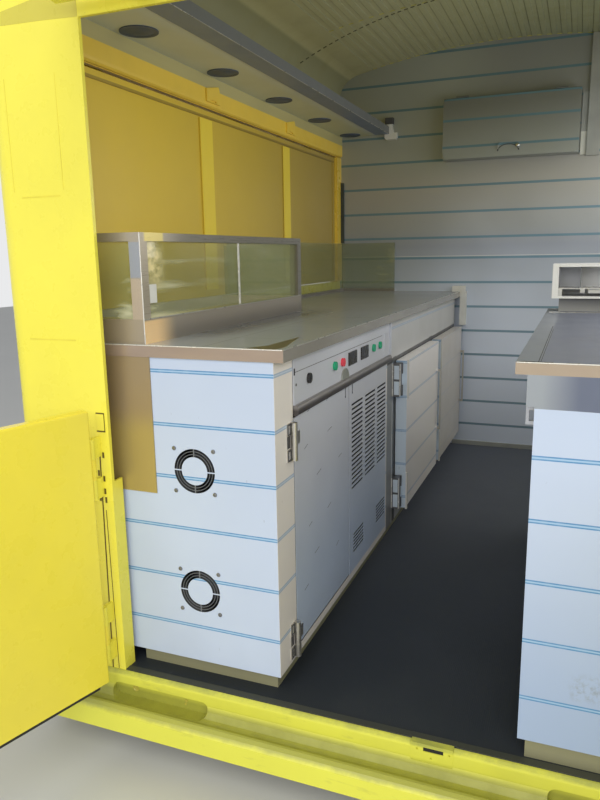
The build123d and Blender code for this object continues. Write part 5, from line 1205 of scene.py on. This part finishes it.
class BODY_OT_counters(bpy.types.Operator):
    """Materials of both counters, their worktops, the glass guard and the controls"""
    bl_idname = "service_body.counters"
    bl_label = "Counters"

    def execute(self, context):
        g = fitting_settings()
        dress("left_end_panel", fan_sheet("fan_end_sheet"))
        dress("left_machine_bay", bay_sheet("machine_bay_sheet"))
        dress("left_fridge_body", cold_body("cold_body_sheet"))
        dress("right_carcass", right_sheet("right_counter_sheet"))
        leaf = finish_of("satin_leaf_sheet", leaf_sheet)
        for node in ("service_door", "louvre_panel"):
            dress(node, leaf)
        satin = satin_sheet()
        for node in ("control_fascia", "right_door_near", "right_door_far"):
            dress(node, satin)
        # the near door's lighter colour and the far door's darker one are painted light and shade
        dress("fridge_door_near", cold_door("near_cold_door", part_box("fridge_door_near")[0].y + HINGE_REACH,
                                            (0.97, 0.93, 0.93), 0.40))
        dress("fridge_door_far", cold_door("far_cold_door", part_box("fridge_door_far")[0].y + HINGE_REACH,
                                           (0.69, 0.65, 0.63), 0.10))
        dress("left_worktop", left_top("left_worktop_sheet"))
        dress("right_worktop", right_top("right_worktop_sheet"))
        dress("display_riser", riser_sheet("riser_sheet"))
        dress("guard_frame", guard_sheet("guard_sheet"))
        dress("end_plate", end_sheet("end_plate_sheet"))
        dress("right_box", box_sheet("pale_box_sheet"))
        dress("step_catch", NODES["rear_step"].data.materials[0])
        dress("guard_glass", finish_of("guard_pane", pane))
        dress("plinths", finish_of("plinth_sheet", brushed, (0.34, 0.325, 0.20), "X", rough=0.42, metal=0.3))
        dress("pull_channel", pull_sheet("folded_pull"))
        for node in ("compressor", "fan_frames", "fan_rotor_upper", "fan_rotor_lower"):
            dress(node, "black_moulding")
        dress("dark_controls", "dark_caps")
        dress("green_buttons", finish_of("green_lens", moulded, g.green, rough=0.2))
        dress("red_button", finish_of("red_lens", moulded, g.red, rough=0.2))
        return {"FINISHED"}


class BODY_OT_fans(bpy.types.Operator):
    """Plated screws at the corners of both fan grilles"""
    bl_idname = "service_body.fans"
    bl_label = "Fan screws"

    def execute(self, context):
        r = fitting_settings().screw
        shank = r * 0.36
        profile = ((0.0, -0.006), (shank, -0.006), (shank, -0.0002), (r, -0.0002), (r, 0.0008), (r * 0.84, 0.0022),
                   (r * 0.55, 0.0024), (r * 0.46, 0.0009), (0.0, 0.0009))
        for place, name in zip(FAN_PLACES, ("upper", "lower")):
            bm = bmesh.new()
            for dx in (-SCREW_REACH, SCREW_REACH):
                for dz in (-SCREW_REACH, SCREW_REACH):
                    add_turned(bm, (place.x + dx, END_Y, place.z + dz), "-Y", profile, 20)
            piece(f"fan_screws_{name}", bm, "dull_screws", smooth=True)
        return {"FINISHED"}


class BODY_OT_edges(bpy.types.Operator):
    """Bright folds along the worktops, the riser and the guard's near post: rounded edges whose pale finish is a
    painted highlight
    """
    bl_idname = "service_body.edges"
    bl_label = "Bright edges"

    def execute(self, context):
        r = fitting_settings().edge_rod
        # each rod rounds an edge, and its pale finish is a painted highlight along it, palest on the near folds
        # and the guard's post
        rows = (("left_near_fold_highlight", "X", (-0.862, -1.1226, 1.0425), 0.664),
                ("left_front_fold", "Y", (LEFT_FRONT_X, -1.122, 1.0426), 2.36),
                ("right_near_fold_highlight", "X", (0.287, -1.1597, 1.0426), 0.578),
                ("post_fold_highlight", "Z", (RISER_X, -1.1096, 1.044), 0.255),
                ("riser_front_fold", "Y", (RISER_X, -1.109, 1.1006), 0.99),
                ("channel_fold", "Y", (-0.5872, -1.128, 1.8512), 2.38))
        for name, axis, place, long in rows:
            bm = add_turned(bmesh.new(), place, axis, rod_profile(r, long), 10)
            bright = name in ("left_near_fold_highlight", "right_near_fold_highlight", "post_fold_highlight")
            material = "polished_fold" if bright else "dull_fold"
            piece(name, bm, material, smooth=True)
        return {"FINISHED"}


class BODY_OT_controls(bpy.types.Operator):
    """Small things on the left counter: joint line, screw, latch insets, film marks and an olive corner patch on
    the worktop
    """
    bl_idname = "service_body.controls"
    bl_label = "Control details"

    def execute(self, context):
        blocks("fascia_joint", [((FASCIA_X, FASCIA_X + 0.5), (-1008, -225), (973.8, 975.2))],
               "thin_shadow_line", 0)
        blocks("fascia_notch", [((FASCIA_X - 0.1, FASCIA_X + 0.7), (-1009.5, -1002), (968, 984))],
               "dark_gap", 0)
        satin = satin_sheet()
        blocks("fascia_end_post", [((FASCIA_X, FASCIA_X + 2.0), (-200, -140), (899, 980))], satin)
        bm = add_turned(bmesh.new(), (FASCIA_X * MM, -0.996, 0.944), "X",
                        ((0.0, 0.0), (0.0036, 0.0), (0.0036, 0.0008), (0.0024, 0.0016), (0.0, 0.0016)), 20)
        piece("fascia_screw", bm, "thin_shadow_line", smooth=True)
        steel = finish_of("inset_steel", brushed, (0.36, 0.36, 0.37), "Z", rough=0.34, metal=0.4)
        for name, y, body in (("service_latch", -612, "service_door"), ("louvre_latch", -547, SHELL)):
            inset = ((-229.6, -224.2), (y - 4.9, y + 4.9), (837.2, 878.8))
            blocks(f"{name}_shade", [inset], "inset_shadow", 0, body)
            bolt = ((-224.6, -222.6), (y - 1.8, y + 1.8), (843, 873))
            blocks(f"{name}_bolt", [bolt], steel, body=body)
        self.scratches()
        # olive patch on the worktop's near corner
        bm = add_plate(bmesh.new(), [(-0.300, -1.121, TOP_Z), (-0.216, -1.121, TOP_Z), (-0.212, -1.070, TOP_Z),
                                     (-0.253, -0.881, TOP_Z), (-0.262, -1.060, TOP_Z)], (0, 0, MARK_T))
        olive = finish_of("olive_steel", brushed, (0.165, 0.145, 0.075), "Y", rough=0.4, metal=0.2)
        piece("olive_corner_patch", bm, olive)
        return {"FINISHED"}

    def scratches(self):
        """Short slanted scratches in the service door's film."""
        bm = bmesh.new()
        places = ((-906, 862), (-764, 862), (-752, 776), (-930, 772), (-664, 678), (-839, 680), (-905, 560),
                  (-760, 560), (-860, 470), (-690, 420), (-940, 400))
        for i, (y, z) in enumerate(places):
            long = 11 + 3 * (i % 3)
            rise = 5 + 2 * (i % 2)
            corners = ((y - long, z), (y + long, z + rise), (y + long, z + rise + 1.6), (y - long, z + 1.6))
            add_plate(bm, [(LEAF_MARK_X, y * MM, z * MM) for y, z in corners], (0.0003, 0, 0))
        piece("service_door_scratches", bm, "film_scratch", body="service_door")


class BODY_OT_hinges(bpy.types.Operator):
    """Facings of the counter's hinges"""
    bl_idname = "service_body.hinges"
    bl_label = "Hinge facings"

    def execute(self, context):
        for name, z in SERVICE_HINGES:
            shades, faces = [((-222.2, -221.7), (-1050, -1032), (z - 15, z + 15))], []
            for low, high in ((z - 45, z - 18), (z + 18, z + 45)):
                shades.append(((FASCIA_X, FASCIA_X + 0.6), (-1053, -1032), (low, high)))
                faces.append(((FASCIA_X + 0.3, FASCIA_X + 1.2), (-1048, -1037), (low + 4, high - 4)))
            blocks(f"service_hinge_shade_{name}", shades, "inset_shadow", 0)
            blocks(f"service_hinge_face_{name}", faces, chrome(), 0.2)
        for name, y in (("near", -69), ("far", 594)):
            inserts, rims = [], []
            for z in COLD_HINGES:
                for low in (z - 53, z + 4):
                    inserts.append(((-215, -197), (y - 1.4, y + 0.2), (low, low + 49)))
                rims.append(((-222, -218.6), (y - 1.0, y + 0.4), (z - 59, z + 59)))
                rims.append(((-195.4, -191.6), (y - 1.0, y + 0.4), (z - 59, z + 59)))
            blocks(f"cold_hinge_inserts_{name}", inserts, "blue_white_film", 0.5)
            blocks(f"cold_hinge_rims_{name}", rims, "polished_fold", 0.4)
        return {"FINISHED"}


class BODY_OT_guard(bpy.types.Operator):
    """Joint strip and clip of the glass guard"""
    bl_idname = "service_body.guard"
    bl_label = "Guard details"

    def execute(self, context):
        blocks("guard_joint_strip", [((-560.3, -558.8), (-599, -588), (1102, 1280))],
               "polished_fold", 0.4)
        blocks("guard_clip_cover", [((-560.4, -553.6), (-1083, -1046), (1136, 1181))],
               "white_moulding", 2.0)
        return {"FINISHED"}


class BODY_OT_right(bpy.types.Operator):
    """Right worktop's seam and film gaps, a painted shadow and a fold at the box's foot, the fold's pale finish a
    painted highlight, and the box's fittings
    """
    bl_idname = "service_body.right_side"
    bl_label = "Right counter details"

    def execute(self, context):
        seams = [((324.8, 326.2), (-1146, -480), ON_TOP), ((329.0, 330.0), (-1146, -560), ON_TOP)]
        blocks("right_seam", seams, "thin_shadow_line", 0)
        bm = bmesh.new()
        for corners in (((289, -1152), (352, -1155), (350, -1149), (300, -1146)),
                        ((372, -1156), (398, -1156.5), (396, -1152), (376, -1151))):
            add_plate(bm, [(x * MM, y * MM, TOP_Z) for x, y in corners], (0, 0, MARK_T))
        piece("right_film_gaps", bm, "dark_gap")
        # painted shadow: a dark plate on the worktop under the box's foot
        bm = add_plate(bmesh.new(), [(0.318, 0.004, TOP_Z), (0.345, -0.010, TOP_Z), (0.40, -0.016, TOP_Z),
                                     (0.60, -0.018, TOP_Z), (0.60, 0.0055, TOP_Z), (0.33, 0.0055, TOP_Z)],
                       (0, 0, MARK_T))
        piece("box_foot_shadow", bm, "dark_gap")
        # the fold rounds the worktop's end under the box; its pale finish is a painted highlight
        folds = [((296, 330), (-22, -8), (1042.8, 1044.4)), ((330, 606), (-25, -20), (1042.8, 1044.0))]
        blocks("box_foot_fold_highlight", folds, "polished_fold", 0.3)
        blocks("box_shelf", [((317, 591), (10, 141), (1117.5, 1120.5))], "polished_fold")
        blocks("box_divider", [((386.4, 388.8), (14, 141), (1120, 1190))], "box_inset")
        blocks("box_clips", [((387, 402), (8, 16), (1105, 1118)), ((412, 486), (9, 15), (1104, 1116)),
                             ((318, 332), (7.5, 14), (1092, 1118))], "white_moulding", 1.2)
        blocks("box_lining", [((318, 590), (140.2, 141.4), (1089, 1189))], "box_back", 0)
        return {"FINISHED"}


class BODY_OT_room(bpy.types.Operator):
    """Floor mat, bulkhead lining, cupboard, soffit and its lamps"""
    bl_idname = "service_body.room"
    bl_label = "Room"

    def execute(self, context):
        dress("floor_mat", rubber_mat("ribbed_floor_mat"))
        dress("bulkhead_lining", banded_lining("banded_lining"))
        cupboard = banded_lining("banded_cupboard", cupboard=True)
        for node in ("wall_cupboard", "cupboard_door"):
            dress(node, cupboard)
        dress("soffit", self.soffit_board())
        dress("soffit_channel", self.channel_sheet())
        dress("downlights", "dull_lamp_rings")
        dress("end_blocks", "white_moulding")
        dress("bulkhead_trim", "grey_trim")
        dress("corner_seal", "green_grey_seal")
        return {"FINISHED"}

    def channel_sheet(self):
        """Grey folded channel, with painted light on its underside, which is lighter and bluer than its sides."""
        f = Finish("channel_sheet", Metallic=0.2)
        # painted light: the underside lighter and bluer than the sides
        under = f.rise("Z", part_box("soffit_channel")[0].z + 0.0008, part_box("soffit_channel")[0].z + 0.0004)
        base = f.mix(under, (0.175, 0.185, 0.195), (0.195, 0.25, 0.40))
        soft = f.spots(0.48, 0.85, 5.0, 4, rough=0.6)
        base = f.tint(base, (0.10, 0.10, 0.10), soft, 0.14)
        return f.finish(base, f.ramp(soft, ((0.0, 0.42), (1.0, 0.54))), f.dents(0.12, 0.004, 3.0, 2))

    def soffit_board(self):
        """Grey-green board, a little warmer on its fold down the wall."""
        f = Finish("soffit_board")
        y = f.part("Y")
        board = f.mix(f.step(y, -1.1, 1.2), (0.63, 0.665, 0.60), (0.58, 0.61, 0.47))
        board = f.tint(board, (0.63, 0.70, 0.76), f.rise("X", -0.72, -0.66), 0.7)
        soft = f.spots(0.45, 0.85, 4.0, 4)
        board = f.tint(board, (0.30, 0.29, 0.15), soft, 0.16)
        base = f.mix(f.rise("Z", *SOFFIT_Z), board, (0.50, 0.45, 0.21))
        return f.finish(base, f.ramp(soft, ((0.0, 0.44), (1.0, 0.56))), f.dents(0.15, 0.004, 3.0, 2))


class BODY_OT_fittings(bpy.types.Operator):
    """Small things in the room: plug's cap, lock and pull of the cupboard, lamp lenses, painted shade in the
    rail's groove, roof seam
    """
    bl_idname = "service_body.fittings"
    bl_label = "Room details"

    def execute(self, context):
        blocks("plug_cap", [((-608, -566), (1252.6, 1277.8), (1898.6, 1931))], "inset_shadow", 0.8)
        bm = add_turned(bmesh.new(), (0.067, 1.160, 1.741), "-Y",
                        ((0.0, -0.001), (0.0085, -0.001), (0.0085, 0.0016), (0.006, 0.003), (0.0, 0.003)), 24)
        piece("cupboard_lock", bm, chrome(), smooth=True, body="cupboard_door")
        bm = bmesh.new()
        for i in range(12):
            low, high = math.pi * i / 12, math.pi * (i + 1) / 12
            ring = [(23 - r * math.cos(a), 1170.8, 1719 + 0.62 * r * math.sin(a)) for r, a in
                    ((52, low), (52, high), (46, high), (46, low))]
            add_plate(bm, [tuple(v * MM for v in corner) for corner in ring], (0, -0.0006, 0))
        piece("cupboard_pull_shade", bm, "inset_shadow", body="cupboard_door")
        self.lamp_lenses()
        # painted shade: a dark strip in the hatch rail's groove
        blocks("hatch_rail_groove", [((-866.0, -864.6), (-1005, 1277), (1745.5, 1750.5))],
               "rail_groove", 0)
        blocks("trim_end", [((345.6, 372.4), (1266.8, 1268.4), (1690, 1795))], "pale_trim_end")
        self.roof_seam()
        return {"FINISHED"}

    def lamp_lenses(self):
        """Dull dark lens just inside each downlight's ring."""
        low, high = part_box("downlights")
        r = (high.x - low.x) / 2
        x = (low.x + high.x) / 2
        bm = bmesh.new()
        for y in LAMP_PLACES:
            add_turned(bm, (x, y, low.z + 0.0002), "Z", ((0.0, 0.0), (r * 0.90, 0.0006), (r * 0.95, 0.0020),
                                                        (r * 0.95, 0.0028), (0.0, 0.0028)), 36)
        piece("lamp_lenses", bm, "dull_lenses", smooth=True)

    def roof_seam(self):
        """Row of short stitches along the joint of the roof's two sheets."""
        drop = ROOF_CROWN - ROOF_EAVE
        radius = (ROOF_HALF ** 2 + drop ** 2) / (2 * drop)
        bm = bmesh.new()
        x = -0.80
        while x < 0.80:
            place = Vector((x, SEAM_Y, ROOF_CROWN - radius + math.sqrt(radius * radius - x * x)))
            turn = Matrix.Translation(place) @ Matrix.Rotation(math.asin(x / radius), 4, "Y")
            part = bmesh.new()
            add_block(part, (-0.008, 0.008), (-0.003, 0.003), (-0.0016, 0.001), 0.0006)
            mesh = bpy.data.meshes.new("stitch")
            part.transform(turn)
            part.to_mesh(mesh)
            part.free()
            bm.from_mesh(mesh)
            bpy.data.meshes.remove(mesh)
            x += STITCH_PITCH
        piece("roof_seam_stitches", bm, "roof_stitches")


OPERATORS = (BODY_OT_stage, BODY_OT_shell, BODY_OT_rear, BODY_OT_counters, BODY_OT_fans, BODY_OT_edges,
             BODY_OT_controls, BODY_OT_hinges, BODY_OT_guard, BODY_OT_right, BODY_OT_room, BODY_OT_fittings)


class BODY_PT_panel(bpy.types.Panel):
    """Settings and steps of the service body's looks"""
    bl_idname = "BODY_PT_service_body"
    bl_label = "Service body"
    bl_space_type = "VIEW_3D"
    bl_region_type = "UI"
    bl_category = "Service body"

    def draw(self, context):
        layout = self.layout
        for group, name in zip(GROUPS, SETTING_NAMES):
            box = layout.box()
            box.label(text=group.__name__.replace("Settings", ""))
            values = getattr(context.scene, name)
            for key in group.__annotations__:
                box.prop(values, key)
        for operator in OPERATORS:
            layout.operator(operator.bl_idname)


CLASSES = GROUPS + OPERATORS + (BODY_PT_panel,)


def register():
    for item in CLASSES:
        bpy.utils.register_class(item)
    for group, name in zip(GROUPS, SETTING_NAMES):
        setattr(bpy.types.Scene, name, PointerProperty(type=group))


def unregister():
    for name in SETTING_NAMES:
        delattr(bpy.types.Scene, name)
    for item in reversed(CLASSES):
        bpy.utils.unregister_class(item)


def main():
    register()
    for operator in OPERATORS:
        group, name = operator.bl_idname.split(".")
        getattr(getattr(bpy.ops, group), name)()


if __name__ == "__main__":
    main()
